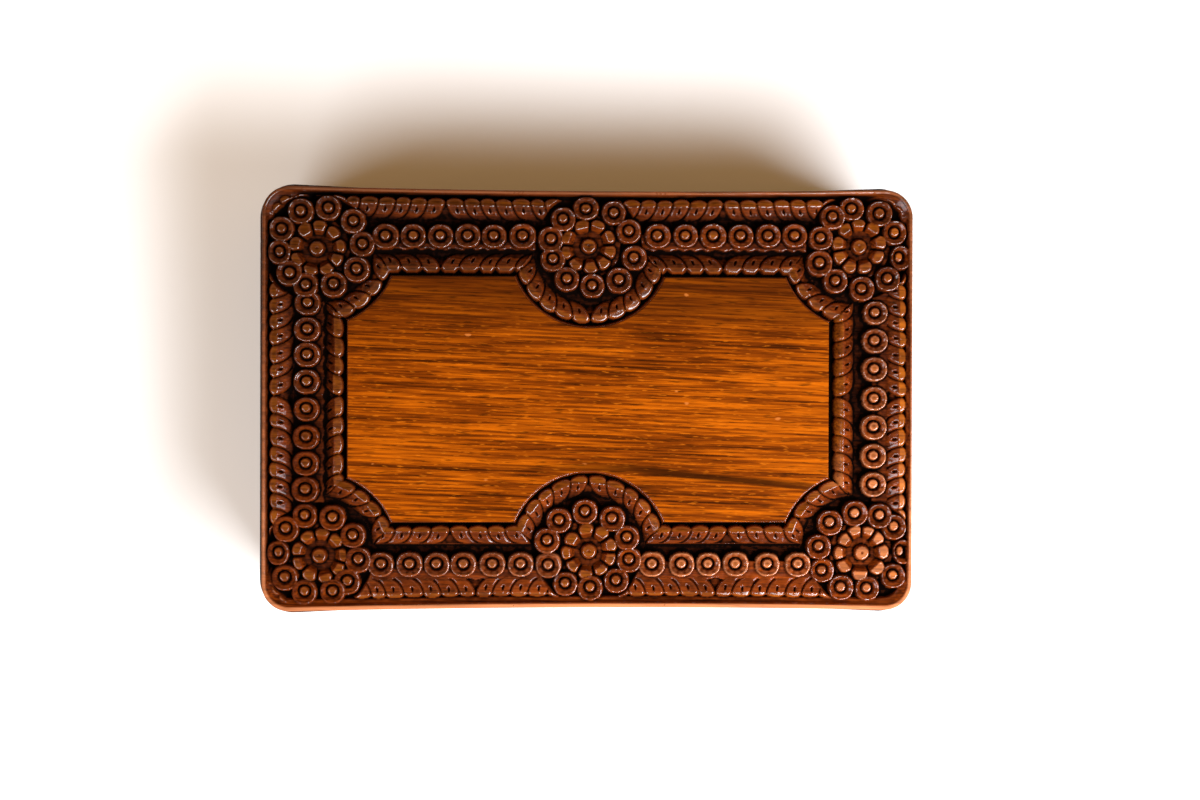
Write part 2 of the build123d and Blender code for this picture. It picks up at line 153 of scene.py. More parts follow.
class Socket:
    """An output of a shader graph whose arithmetic adds Math nodes."""

    def __init__(self, graph: "Graph", link: bpy.types.NodeSocket) -> None:
        """Wraps an output socket of a graph."""
        self.graph = graph
        self.link = link

    def _math(self, operation: str, first: object, second: object) -> "Socket":
        """The output of a Math node on two values."""
        return self.graph.add("ShaderNodeMath", {"operation": operation}, {0: first, 1: second})

    def __add__(self, other: object) -> "Socket":
        """This value plus another."""
        return self._math("ADD", self, other)

    __radd__ = __add__

    def __sub__(self, other: object) -> "Socket":
        """This value less another."""
        return self._math("SUBTRACT", self, other)

    def __rsub__(self, other: object) -> "Socket":
        """Another value less this one."""
        return self._math("SUBTRACT", other, self)

    def __mul__(self, other: object) -> "Socket":
        """This value times another."""
        return self._math("MULTIPLY", self, other)

    __rmul__ = __mul__

    def clamp(self) -> "Socket":
        """This value kept between 0 and 1."""
        return self._math("MINIMUM", self._math("MAXIMUM", self, 0.0), 1.0)

    def rise(self, low: float, high: float) -> "Socket":
        """This value as a mask that rises from 0 at low to 1 at high."""
        span = high - low
        return ((self - low) * (1 / span)).clamp()


class Graph:
    """A material's node tree, with one method that adds any node."""

    def __init__(self, name: str) -> None:
        """Starts a material that holds an empty tree."""
        self.material = bpy.data.materials.new(name)
        self.material.use_nodes = True
        self.tree = self.material.node_tree
        self.tree.nodes.clear()

    def add(self, kind: str, settings: dict[str, object], inputs: dict[str | int, object],
            output: str | int = 0) -> Socket:
        """Adds a node.

        Args:
            kind: The node's type.
            settings: What is set on the node before its sockets. "stops" are a ramp's places and colours.
            inputs: Values or links by the sockets' names or numbers.
            output: The name or number of the output that is wanted.

        Returns:
            That output.
        """
        node = self.tree.nodes.new(kind)
        for name, value in settings.items():
            if name == "stops":
                elements = node.color_ramp.elements
                while len(elements) < len(value):
                    elements.new(0.5)
                for element, (place, colour) in zip(elements, value):
                    element.position, element.color = place, colour
            else:
                setattr(node, name, value)
        for name, value in inputs.items():
            if isinstance(value, Socket):
                self.tree.links.new(value.link, node.inputs[name])
            else:
                node.inputs[name].default_value = value
        return Socket(self, node.outputs[output])

    def place(self) -> Socket:
        """Where a point is in the frame."""
        return self.add("ShaderNodeTexCoord", {}, {}, "Object")

    def part(self, axis: int) -> Socket:
        """One coordinate of a point in the frame."""
        return self.add("ShaderNodeSeparateXYZ", {}, {0: self.place()}, axis)

    def absolute(self, value: Socket) -> Socket:
        """A value without its sign."""
        return self.add("ShaderNodeMath", {"operation": "ABSOLUTE"}, {0: value})

    def attribute(self, name: str) -> Socket:
        """A value that the mesh carries."""
        return self.add("ShaderNodeAttribute", {"attribute_name": name}, {}, "Fac")

    def stretch(self, vector: Socket, by: Triple) -> Socket:
        """A place with each axis scaled."""
        return self.add("ShaderNodeVectorMath", {"operation": "MULTIPLY"}, {0: vector, 1: by})

    def noise(self, vector: Socket, scale: float, detail: float = 3.0, wander: float = 0.0) -> Socket:
        """Soft noise about 0.5.

        Args:
            vector: Where it is read.
            scale: How fine it is.
            detail: How many finer layers it has.
            wander: How far it is distorted.

        Returns:
            The noise's value.
        """
        inputs = {"Vector": vector, "Scale": scale, "Detail": detail, "Distortion": wander}
        return self.add("ShaderNodeTexNoise", {}, inputs, "Fac")

    def mix(self, factor: object, low: "Socket | Quad", high: "Socket | Quad") -> Socket:
        """A blend of two colours by a factor from 0 to 1."""
        return self.add("ShaderNodeMix", {"data_type": "RGBA"}, {0: factor, 6: low, 7: high}, 2)

    def over(self, wood: Socket, factor: object, colour: Triple, share: float = 1.0) -> Socket:
        """A wood with a colour laid over it, by a factor from 0 to 1."""
        return self.mix(factor, wood, paint(colour, share))

    def ramp(self, tone: Socket, colours: Sequence[Triple]) -> Socket:
        """A colour picked by a tone: the first at 0, the second at 0.45 and the third at 1."""
        stops = [(place, paint(colour)) for place, colour in zip((0.0, 0.45, 1.0), colours)]
        return self.add("ShaderNodeValToRGB", {"stops": stops}, {"Fac": tone}, "Color")

    def bump(self, height: Socket, depth: float, normal: Socket | None = None) -> Socket:
        """A surface raised by a height.

        Args:
            height: From 0 to 1.
            depth: What 1 stands for, in millimetres.
            normal: A bump that lies under this one.

        Returns:
            The bumped normal.
        """
        inputs: dict[str | int, object] = {"Height": height, "Distance": depth * MM, "Strength": 1.0}
        if normal is not None:
            inputs["Normal"] = normal
        return self.add("ShaderNodeBump", {}, inputs)

    def finish(self, inputs: dict[str | int, object]) -> bpy.types.Material:
        """Puts the surface shader and the output on.

        Args:
            inputs: The surface shader's values or links by the sockets' names.

        Returns:
            The finished material.
        """
        shader = self.add("ShaderNodeBsdfPrincipled", {}, inputs)
        end = self.tree.nodes.new("ShaderNodeOutputMaterial")
        self.tree.links.new(shader.link, end.inputs["Surface"])
        return self.material


@dataclass(frozen=True)
class Grain:
    """How a board's figure is drawn, as cycles to the metre across the grain."""

    along: Along
    broad: float = 46.0
    streak: float = 330.0
    fine: float = 1150.0
    pore: float = 1500.0
    slow: float = 0.03  # how much slower the figure changes along the grain
    lean: float = -2.2  # degrees from the board's length to the grain

    def coordinates(self, graph: Graph) -> Socket:
        """A place that runs slowly along the grain."""
        inputs = {"Vector": graph.place(), "Angle": math.radians(-self.lean)}
        turned = graph.add("ShaderNodeVectorRotate", {"rotation_type": "Z_AXIS"}, inputs)
        return graph.stretch(turned, tuple(self.slow if part else 1.0 for part in self.along.value))

    def figure(self, graph: Graph) -> tuple[Socket, Socket, Socket, Socket]:
        """Draws the figure.

        Args:
            graph: The material's graph.

        Returns:
            The broad bands, the streaks, the fine lines and the pores, each about 0.5.
        """
        at = self.coordinates(graph)
        short = graph.stretch(at, tuple(3.0 if part else 1.0 for part in self.along.value))
        return (
            graph.noise(at, self.broad, 3.0, 0.5),
            graph.noise(at, self.streak, 4.0, 0.3),
            graph.noise(at, self.fine, 2.0),
            graph.noise(short, self.pore, 1.0),
        )


@dataclass(frozen=True)
class CarvedFinish:
    """Dark varnished carving: hollows with stain and painted shade, grained slopes, and flats of the board's
    old face.
    """

    name: str
    grain: Grain
    # colour of the hollows: partly dark stain, partly painted shade
    hollow: Triple = (5, 1, 0)
    slopes: tuple[Triple, Triple, Triple] = ((30, 9, 1), (92, 34, 4), (146, 62, 9))
    flats: tuple[Triple, Triple, Triple] = ((48, 19, 2), (102, 48, 5), (150, 79, 12))
    # gold of the painted light on the flats at the right end
    gold: Triple = (196, 106, 20)
    # pale colour of the rim's wear and of painted light and sheen
    worn: Triple = (232, 146, 94)
    # colour of raised edges: partly a paler edge, partly painted highlight along cuts and on the rings' lit
    # side
    edge: Triple = (152, 66, 26)
    # colour of the painted shade laid over the carving, darkest at the back left
    painted_shade_colour: Triple = (13, 4, 1)
    gloss: float = 0.13
    lit_flats_end: Pair = (0.116, 0.119)  # X in metres where painted light turns the flats gold, at the right end
    slope_shade_end: Pair = (0.109, 0.114)  # X where painted shade darkens the slopes, at the right end
    matt_end: Pair = (0.088, 0.094)  # -X where the gloss goes, at the front left corner
    matt_front: Pair = (-0.002, 0.006)  # -Y where it goes there

    def make(self) -> bpy.types.Material:
        """Builds the material.

        Returns:
            The material, which reads the mesh's recess, crest and face, and its mark of pale wear with
            painted light.
        """
        graph = Graph(self.name)
        broad, streak, fine, pore = self.grain.figure(graph)
        recess, crest = graph.attribute("recess"), graph.attribute("crest")
        mottle = graph.noise(graph.place(), 420.0, 4.0)
        tone = (broad * 0.15 + streak * 0.3 + fine * 0.4 + mottle * 0.15).rise(0.37, 0.63)
        face = graph.attribute("face")
        wood = graph.mix(face, graph.ramp(tone, self.slopes), graph.ramp(tone, self.flats))
        # painted light: the flats turn gold towards the right end
        wood = graph.over(wood, face * graph.part(0).rise(*self.lit_flats_end) * (streak - 0.22), self.gold)
        # raised edges: a paler edge colour with painted highlight
        wood = graph.over(wood, (crest * (0.1 + 0.6 * mottle)).clamp(), self.edge)
        # pale wear on the rim, with painted light on its front and the rings' crests, and painted sheen on
        # the front right flats
        worn = (graph.attribute("worn") * (0.5 + streak)).clamp()
        wood = graph.mix(worn, wood, graph.mix(tone, paint(self.worn, 0.8), paint(self.worn)))
        # painted shade: darker towards the back left and on the slopes at the right end
        wood = graph.over(wood, self.painted_shade(graph, mottle), self.painted_shade_colour)
        # the hollows get dark stain and painted shade together; the pores add their own dark
        stain_and_shade = (recess * (0.85 + 0.4 * mottle) + pore.rise(0.60, 0.76) * 0.25).clamp()
        wood = graph.over(wood, stain_and_shade, self.hollow)
        matt = (0 - graph.part(0)).rise(*self.matt_end) * (0 - graph.part(1)).rise(*self.matt_front)
        gloss = (0.04 + 0.36 * mottle) * (1 - 0.85 * face) * (1 - 0.85 * matt)
        gloss = gloss + 1.9 * mottle * crest * (1 - 0.4 * matt)
        tool = graph.noise(graph.place(), 900.0, 3.0, 0.4)
        return graph.finish({
            "Base Color": wood,
            "Roughness": 0.38 + 0.12 * mottle + 0.5 * recess,
            "Coat Weight": (gloss - 1.4 * recess - 0.5 * worn).clamp(),
            "Coat Roughness": self.gloss, "Coat IOR": 1.7, "Specular IOR Level": 0.03,
            "Normal": graph.bump(tool, 0.045, graph.bump(1 - pore.rise(0.58, 0.70), 0.03)),
        })

    def painted_shade(self, graph: Graph, mottle: Socket) -> Socket:
        """How much painted shade darkens the carving: most at the back left, least at the front right.

        Args:
            graph: The material's graph.
            mottle: Noise about 0.5.

        Returns:
            From 0 to 0.9.
        """
        back_left_shade = graph.part(1) * 2.1 - graph.part(0) * 1.6
        # painted shade on the slopes at the right end
        dull = graph.part(0).rise(*self.slope_shade_end) * (1 - graph.attribute("face")) * 0.2
        return (0.27 + back_left_shade + dull + 0.2 * mottle).rise(0.0, 1.0) * 0.9


@dataclass(frozen=True)
class PanelFinish:
    """The polished panel: orange-brown with close lines, gold flecks, fine pores, one dark streak and painted
    shade at the back.
    """

    name: str
    grain: Grain
    woods: tuple[Triple, Triple, Triple] = ((52, 18, 1), (108, 45, 2), (168, 81, 4))
    fleck: Triple = (188, 100, 14)
    shade: Triple = (54, 20, 2)
    nick: Triple = (196, 116, 52)
    vein: Triple = (30, 10, 1)
    vein_start: Pair = (14.0, -25.9)
    vein_fall: float = 0.10
    vein_width: float = 2.2
    back: Pair = (0.012, 0.044)  # Y in metres where painted shade darkens the panel

    def vein_mask(self, graph: Graph, x: Socket, y: Socket, waver: Socket) -> Socket:
        """Where the dark streak is: from the panel's middle to its front right.

        Args:
            graph: The material's graph.
            x: The point's X in metres.
            y: The point's Y in metres.
            waver: Noise about 0.5 that bends the streak.

        Returns:
            From 0 to 1.
        """
        start_x, start_y = (part * MM for part in self.vein_start)
        drop = (x - start_x) * self.vein_fall * (x - start_x).rise(0.0, 0.01)
        off = y - start_y + drop + (waver - 0.5) * 0.008
        close = 1.6 - graph.absolute(off) * (1.6 / (self.vein_width * MM))
        return close.clamp() * x.rise(-0.05, 0.03) * (1 - 0.5 * x.rise(0.07, 0.10))

    def make(self) -> bpy.types.Material:
        """Builds the material.

        Returns:
            The material.
        """
        graph = Graph(self.name)
        broad, streak, fine, pore = self.grain.figure(graph)
        x, y = graph.part(0), graph.part(1)
        # the small rise towards the right end is painted light
        tone = (broad * 0.15 + streak * 0.27 + fine * 0.58 + x.rise(0.0, 0.09) * 0.03).rise(0.37, 0.64)
        back = (y + (broad - 0.5) * 0.05).rise(*self.back)
        # painted shade: the panel darkens towards the back
        wood = graph.over(graph.ramp(tone, self.woods), back * 0.74, self.shade)
        short = graph.stretch(self.grain.coordinates(graph), (5.0, 1.0, 1.0))
        gold = graph.noise(short, 1500.0, 1.0).rise(0.62, 0.72) * (1 - back) * 0.5
        wood = graph.over(wood, gold, self.fleck)
        wood = graph.over(wood, self.vein_mask(graph, x, y, broad) * (0.6 + fine * 0.5), self.vein)
        lines = pore.rise(0.58, 0.70)
        wood = graph.over(wood, lines * 0.6, self.vein)
        nick = graph.noise(graph.stretch(graph.place(), (0.6, 1.0, 1.0)), 230.0, 1.0)
        return graph.finish({
            "Base Color": graph.over(wood, nick.rise(0.79, 0.82) * 0.5, self.nick),
            "Roughness": 0.3 + 0.2 * fine + 0.12 * lines,
            "Coat Weight": 0.08, "Coat Roughness": 0.25, "Specular IOR Level": 0.0,
            "Normal": graph.bump(1 - lines, 0.03, graph.bump(fine, 0.02, graph.bump(streak, 0.05))),
        })


@dataclass(frozen=True)
class BoardFinish:
    """Plain stained boards: the rails, the back, the base and the liners."""

    name: str
    grain: Grain
    dark: Triple
    light: Triple
    rough: float
    coat: float

    def make(self) -> bpy.types.Material:
        """Builds the material.

        Returns:
            The material.
        """
        graph = Graph(self.name)
        broad, streak, fine, pore = self.grain.figure(graph)
        tone = (broad * 0.3 + streak * 0.35 + fine * 0.35).rise(0.36, 0.64)
        wood = graph.mix(tone, paint(self.dark), paint(self.light))
        lines = pore.rise(0.60, 0.74)
        wear = graph.noise(graph.place(), 60.0, 4.0)
        return graph.finish({
            "Base Color": graph.over(wood, lines * 0.4, self.dark, 0.5),
            "Roughness": self.rough + 0.15 * streak + 0.12 * wear,
            "Coat Weight": self.coat, "Coat Roughness": 0.25, "Specular IOR Level": 0.12,
            "Normal": graph.bump(1 - lines, 0.03, graph.bump(streak, 0.08)),
        })


@dataclass(frozen=True)
class MetalFinish:
    """Small metal fittings with tarnish in patches and fine scratches."""

    name: str
    bright: Triple
    dull: Triple
    rough: float

    def make(self) -> bpy.types.Material:
        """Builds the material.

        Returns:
            The material.
        """
        graph = Graph(self.name)
        patch = graph.noise(graph.place(), 340.0, 5.0, 0.3)
        scratch = graph.noise(graph.stretch(graph.place(), (0.1, 1.0, 1.0)), 2600.0, 2.0)
        tarnish = patch.rise(0.42, 0.68)
        return graph.finish({
            "Base Color": graph.mix(tarnish, paint(self.bright), paint(self.dull)),
            "Metallic": 1.0,
            "Roughness": self.rough + 0.25 * tarnish + 0.08 * scratch,
            "Normal": graph.bump(scratch, 0.01),
        })


@dataclass(frozen=True)
class FeltFinish:
    """Short fuzzy felt with lint and a slightly uneven dye."""

    name: str
    deep: Triple = (58, 12, 16)
    light: Triple = (104, 24, 30)
    lint: Triple = (150, 96, 92)
    sheen: Quad = (0.9, 0.4, 0.42, 1.0)

    def make(self) -> bpy.types.Material:
        """Builds the material.

        Returns:
            The material.
        """
        graph = Graph(self.name)
        fibre = graph.noise(graph.place(), 2400.0, 4.0, 1.2)
        cloud = graph.noise(graph.place(), 38.0, 3.0)
        lint = graph.noise(graph.place(), 700.0, 2.0, 2.0)
        tone = (fibre * 0.75 + cloud * 0.25).rise(0.34, 0.68)
        colour = graph.mix(tone, paint(self.deep), paint(self.light))
        return graph.finish({
            "Base Color": graph.over(colour, lint.rise(0.72, 0.80) * 0.35, self.lint),
            "Roughness": 0.92, "Specular IOR Level": 0.1,
            "Sheen Weight": 0.3, "Sheen Roughness": 0.5, "Sheen Tint": self.sheen,
            "Normal": graph.bump(fibre, 0.18),
        })


@dataclass(frozen=True)
class FloorFinish:
    """The plain pale floor."""

    name: str = "pale floor"
    colour: Triple = (238, 236, 232)

    def make(self) -> bpy.types.Material:
        """Builds the material.

        Returns:
            The material.
        """
        graph = Graph(self.name)
        cloud = graph.noise(graph.place(), 3.0, 2.0)
        tone = graph.mix(cloud, paint(self.colour), paint(self.colour, 1.02))
        return graph.finish({"Base Color": tone, "Roughness": 0.7})


# Shapes in plan


@dataclass(frozen=True)
class Outline:
    """A plan with straight ends, hollow long sides and round corners."""

    length: float  # from the middle to each end
    depth: float  # from the middle to a long side, at the corners
    hollow: float
    radius: float

    def edge(self, x: Array | float) -> Array | float:
        """How far a long side lies from the middle at x."""
        curve = (self.length**2 + self.hollow**2) / (2 * self.hollow)
        return self.depth - self.hollow + curve - np.sqrt(curve**2 - np.square(x))

    def inset(self, x: Array, y: Array) -> Array:
        """How far points lie in from the outline.

        Args:
            x: Their X.
            y: Their Y.

        Returns:
            Distances, below 0 outside.
        """
        radius = self.radius
        near_end = radius - (self.length - np.abs(x))
        near_side = radius - (self.edge(np.minimum(np.abs(x), self.length)) - np.abs(y))
        corner = np.hypot(np.maximum(near_end, 0), np.maximum(near_side, 0))
        return radius - corner - np.minimum(np.maximum(near_end, near_side), 0)


@dataclass(frozen=True)
class Cartouche:
    """The plain panel's outline: a rectangle with six round bites."""

    length: float
    depth: float
    bite: float
    centre_x: float
    centre_y: float
    end_points: int = 60  # on half an end
    side_points: int = 96  # on the straight between two bites

    def centres(self) -> list[Pair]:
        """Centres of the bites."""
        return [(column * self.centre_x, row * self.centre_y) for row in (1, -1) for column in (-1, 0, 1)]

    def outside(self, x: Array, y: Array) -> tuple[Array, Array]:
        """How far points lie out of the panel, and past what.

        Args:
            x: Their X.
            y: Their Y.

        Returns:
            Distances, below 0 inside, and a number: 0 past an end, 1 past a long side, 2 up in a bite.
        """
        fields = [np.abs(x) - self.length, np.abs(y) - self.depth]
        fields += [self.bite - np.hypot(x - cx, y - cy) for cx, cy in self.centres()]
        stack = np.stack(fields)
        return stack.max(axis=0), stack.argmax(axis=0)

    def path(self, grow: float, step: float = 0.5) -> list[Pair]:
        """The outline, grown evenly, as points in order.

        Args:
            grow: How far it is grown.
            step: Spacing of the points at no growth.

        Returns:
            The points, anticlockwise from the right end's middle. Growth can add or drop a few.
        """
        length, depth, bite = self.length + grow, self.depth + grow, self.bite - grow
        cx, cy = self.centre_x, self.centre_y
        end_turn = math.asin((cx - length) / bite)
        side_turn = math.asin((cy - depth) / bite)
        end_y = cy - bite * math.cos(end_turn)
        bite_x = bite * math.cos(side_turn)
        corner_x = cx - bite_x

        def arc(middle_x: float, start: float, stop: float) -> list[Pair]:
            """Points along a bite, short of its end."""
            count = round(self.bite * abs(stop - start) / step)
            turns = [start + (stop - start) * i / count for i in range(count)]
            return [(middle_x + bite * math.cos(turn), cy + bite * math.sin(turn)) for turn in turns]

        points = [(length, end_y * i / self.end_points) for i in range(self.end_points)]
        points += arc(cx, -math.pi / 2 - end_turn, -math.pi + side_turn)
        span, count = bite_x - corner_x, self.side_points
        points += [(corner_x + span * i / count, depth) for i in range(count)]
        points += arc(0.0, -side_turn, -math.pi / 2) + [(0.0, cy - bite)]
        left = [(-x, y) for x, y in reversed(points[1:-1])]
        upper = points + left + [(-length, 0.0)]
        return upper + [(x, -y) for x, y in reversed(upper[1:-1])]


# Carving


def polyline(at: Array, places: Sequence[float], levels: Sequence[float]) -> Array:
    """A section that runs straight between its points."""
    return np.interp(at, places, levels)


def between(values: Array, low: float, high: float) -> Array:
    """Mask of the values between two limits."""
    return (values > low) & (values < high)


@dataclass(frozen=True)
class RingCut:
    """A ring with a dished face round a flat plug: its section from the middle out."""

    radii: tuple[float, ...] = (0.0, 1.65, 1.85, 2.05, 2.6, 3.0, 4.1, 4.4, 4.75, 5.0, 5.3)
    levels: tuple[float, ...] = (-0.85, -0.9, -1.9, -2.8, -2.6, -1.7, -1.2, -0.75, -0.9, -1.6, -3.6)
    dish: float = 2.4
    wall: float = 4.1  # where the raised edge starts
    crest: float = 4.4
    foot: float = 5.5  # where the outer side ends
    reach: float = 8.0  # how far out a ring changes what it meets
    plug: float = 1.7
    lean: Pair = (0.08, -0.34)  # from the plug's middle to the outer edge's
    strokes: tuple[int, int] = (7, 11)  # fewest gouge strokes round a ring, and one more than the most


@dataclass(frozen=True)
class LeafCut:
    """A band of overlapping leaves. Lengths run from the leaves' heads to their tails."""

    pitch: float
    width: float  # from the heads to where the tails end
    sweep: float  # how far a leaf's side runs along the band
    facet: float  # the flat at the head
    scallop: float = 2.1  # how far a head's corners draw back
    eye: float = 4.3  # from the head to the eye
    top: float = -0.65
    foot: float = -3.4
    tilt: float = 0.2  # how fast the flat falls to the head
    wall: float = 5.5  # how steep a head's front is
    square: bool = False  # heads with straight fronts and cut corners
    lift: float = 0.42  # how far a leaf's near side stands over its far one
    stain_and_shade: float = 0.0  # how much painted shade darkens the slope past the flat
    nose: float = 0.0  # how far the flat curves down at the head
    groove: Pair = (0.42, 1.15)  # how far the cut between two leaves reaches, and the dip round it
    eye_size: Pair = (0.55, 1.15)  # half an eye's width and length


@dataclass(frozen=True)
class FlowerCut:
    """A flower round a flat-topped dome."""

    dome: float = 2.55
    gap: float = 0.45  # from a petal's side to the middle of the slot beside it
    ridge: float = 7.3
    shoulder: float = 7.2
    reach: float = 10.9
    half_width: float = 3.0
    field: float = 12.5  # radius of the round that holds all of it
    top: float = -0.72  # a petal's level at its ridge


@dataclass
class Relief:
    """A carved surface: the height over each point of a grid, with its old face marked."""

    x: Array
    y: Array
    depth: float  # from the old face to the ground
    rng: np.random.Generator
    height: Array = field(init=False)
    face: Array = field(init=False)
    # painted highlight above 0 and painted shade below 0
    painted_light_shade: Array = field(init=False)

    def __post_init__(self) -> None:
        """Cuts everything to the ground."""
        self.height = np.full(self.x.shape, -self.depth)
        self.face = np.zeros(self.x.shape)
        self.painted_light_shade = np.zeros(self.x.shape)

    @property
    def scale(self) -> float:
        """This carving's depth over the depth that the sections are drawn for."""
        return self.depth / FULL_DEPTH

    def keep_higher(self, place: Array, level: Array, face: Array, painted_light_shade: Array | float = 0.0) -> None:
        """Leaves wood up to a level where it stands over what is there.

        Args:
            place: Mask of the points.
            level: Their levels, before scaling.
            face: How much of the old face each has, from 0 to 1.
            painted_light_shade: How much painted highlight each has, up to 1, or painted shade, down to -1.
        """
        level = level * self.scale
        now = self.height[place]
        higher = level > now
        self.height[place] = np.where(higher, level, now)
        self.face[place] = np.where(higher, face, self.face[place])
        self.painted_light_shade[place] = np.where(higher, painted_light_shade, self.painted_light_shade[place])

    def away(self, centre: Pair) -> Array:
        """How far the points lie from a centre."""
        return np.hypot(self.x - centre[0], self.y - centre[1])

    def near(self, centre: Pair, reach: float) -> Array:
        """Mask of the points within reach of a centre."""
        return self.away(centre) < reach

    def ring(self, centre: Pair, size: float = 1.0, squash: Pair = (1.0, 1.0),
             push: Pair = (0.0, 0.0)) -> None:
        """Cuts a ring.

        Args:
            centre: Its plug's middle.
            size: Its size over the usual one.
            squash: How much narrower it is along X and Y.
            push: How far its outer edge is pushed to one side of the plug.
        """
        cut = RingCut()
        place = self.near(centre, cut.reach)
        dx = (self.x[place] - centre[0]) / (size * squash[0])
        dy = (self.y[place] - centre[1]) / (size * squash[1])
        angle = np.arctan2(dy, dx)
        strokes = self.rng.integers(*cut.strokes)
        phase, lean_x, lean_y, drop, off_x, off_y = self.rng.uniform(-1, 1, 6)
        wave = np.abs(np.sin(strokes * angle / 2 + 3 * phase))
        outer = np.clip((np.hypot(dx, dy) - 2.0) / 2.2, 0, 1)
        dx = dx - outer * (cut.lean[0] + 0.15 * off_x + push[0])
        dy = dy - outer * (cut.lean[1] + 0.15 * off_y + push[1])
        power = 2.0 + 0.22 * outer
        radius = (np.abs(dx) ** power + np.abs(dy) ** power) ** (1 / power) * (1.012 - 0.03 * wave)
        level = polyline(radius, cut.radii, cut.levels)
        level = level + np.where(between(radius, cut.dish, cut.crest), 0.3 * wave - 0.15, 0.0)
        level = level + 0.035 * (lean_x * dx + lean_y * dy) + 0.12 * drop
        face = (radius < cut.plug).astype(float)
        # painted light and shade: the ring's lower right side, towards the lamps, is marked bright and its
        # upper left dark
        lit = 0.12 * dx - 0.1 * dy
        painted_light_shade = np.where(radius > cut.wall, 0.8 * lit - 0.24, 0.12 * lit - 0.04) * (radius > 2.6)
        inside = radius < cut.crest
        now = self.height[place] / self.scale
        level = np.where(inside, level, np.maximum(level - np.maximum(radius - cut.foot, 0) * 9, now))
        higher = inside | (level > now)
        self.height[place] = level * self.scale
        self.face[place] = np.where(higher, face, self.face[place])
        self.painted_light_shade[place] = np.where(higher, np.clip(painted_light_shade, -0.5, 0.4), self.painted_light_shade[place])

    def leaves(self, place: Array, along: Array, across: Array, mirror: float, cut: LeafCut) -> None:
        """Cuts a band of leaves whose heads lean to its mirror line and whose tails run away from it.

        Args:
            place: Mask of the band's points.
            along: Where each of these is along the band.
            across: How far each of these is from the line of the heads.
            mirror: Where the direction turns, along the band.
            cut: The leaves' sizes.
        """
        if not place.any():
            return
        rng, pitch = self.rng, cut.pitch
        away = np.abs(along - mirror)
        hand = np.where(along < mirror, 0, 1)
        depth = np.clip(across / cut.width, 0, 0.985)
        back = np.sqrt(1 - depth**2)
        run = away - cut.sweep * (1 - back)
        slope = cut.sweep * depth / (cut.width * back)
        bounds = np.arange(LEAVES + 1) * pitch + rng.uniform(-0.09, 0.09, LEAVES + 1) * pitch
        bounds[0] = 0.0
        step = np.interp(run, bounds, np.arange(LEAVES + 1.0))
        index = np.minimum(step.astype(int), LEAVES - 1)
        part = step - index
        own = (index + hand * 31) % LEAVES
        vary = rng.uniform(-1, 1, (5, LEAVES))
        pitch = bounds[index + 1] - bounds[index]
        cut_distance = np.minimum(part, 1 - part) * pitch / np.sqrt(1 + slope**2)
        side = np.abs(2 * part - 1)
        notch = np.clip((side - 0.5) / 0.5, 0, 1) if cut.square else 1 - np.sqrt(1 - np.square(0.985 * side))
        head = across - cut.scallop * notch - 0.2 * vary[0][own]
        facet = cut.facet * (1 + 0.1 * vary[1][own])
        top = cut.top + 0.12 * vary[2][own]
        fall = (cut.foot - top) / (cut.width - facet)
        flat = top - cut.tilt * (facet - across) - cut.nose * np.square(np.clip(1 - across / facet, 0, 1))
        level = np.minimum(flat, top + (across - facet) * fall)
        level = level - 0.45 * np.square(1 - np.clip(head / 0.7, 0, 1)) + np.minimum(head, 0) * cut.wall
        level = level + cut.lift * (0.5 - part) * np.clip(head / 1.2, 0, 1)
        narrow, broad = (np.clip(1 - cut_distance / reach, 0, 1) for reach in cut.groove)
        level = level - (0.95 * narrow + 0.3 * broad) * np.clip(head / 0.5, 0, 1)
        eye_across = across - cut.eye - 0.3 * vary[3][own]
        eye_along = (part - 0.5) * pitch + 0.25 * eye_across
        half_width, half_length = cut.eye_size
        eye = (eye_along / (half_width + 0.12 * eye_across)) ** 2 + (eye_across / half_length) ** 2
        level = level - 1.2 * np.clip(1 - eye, 0, 1) + 0.22 * np.clip(1 - np.abs(eye - 1.8) / 0.8, 0, 1)
        middle = run < 0
        level = np.where(middle, np.minimum(level, -2.0 - 0.14 * across), level)
        level = np.where(across > cut.width, cut.foot + (cut.width - across) * 3.0, level)
        face = ((head > 0.3) & (across < facet - 0.1) & ~middle) * np.clip(cut_distance / 0.4, 0, 1)
        past_flat = across > facet
        # painted highlight along one side of each cut past the flat, and painted shade on that slope
        painted_light_shade = np.clip(1 - np.abs(cut_distance - 0.65) / 0.35, 0, 1) * (part < 0.5) * past_flat * ~middle
        self.keep_higher(place, level, face, painted_light_shade - cut.stain_and_shade * past_flat)

    def ledge(self, place: Array, off: Array, along: Array, reach: float, level: float) -> None:
        """Leaves a rough shelf beside a row of rings.

        Args:
            place: Mask of the points.
            off: How far each of these is from the row's middle.
            along: Where each of these is along the row.
            reach: Where the shelf ends.
            level: How high it is.
        """
        wave = 0.35 * np.sin(along * 1.16 + 0.9 * np.sin(along * 0.31)) + 0.06 * np.sin(along * 2.7)
        shelf = polyline(off + wave, (reach - 0.5, reach + 0.1), (level, -4.6))
        self.keep_higher(place, shelf, np.zeros(shelf.size))

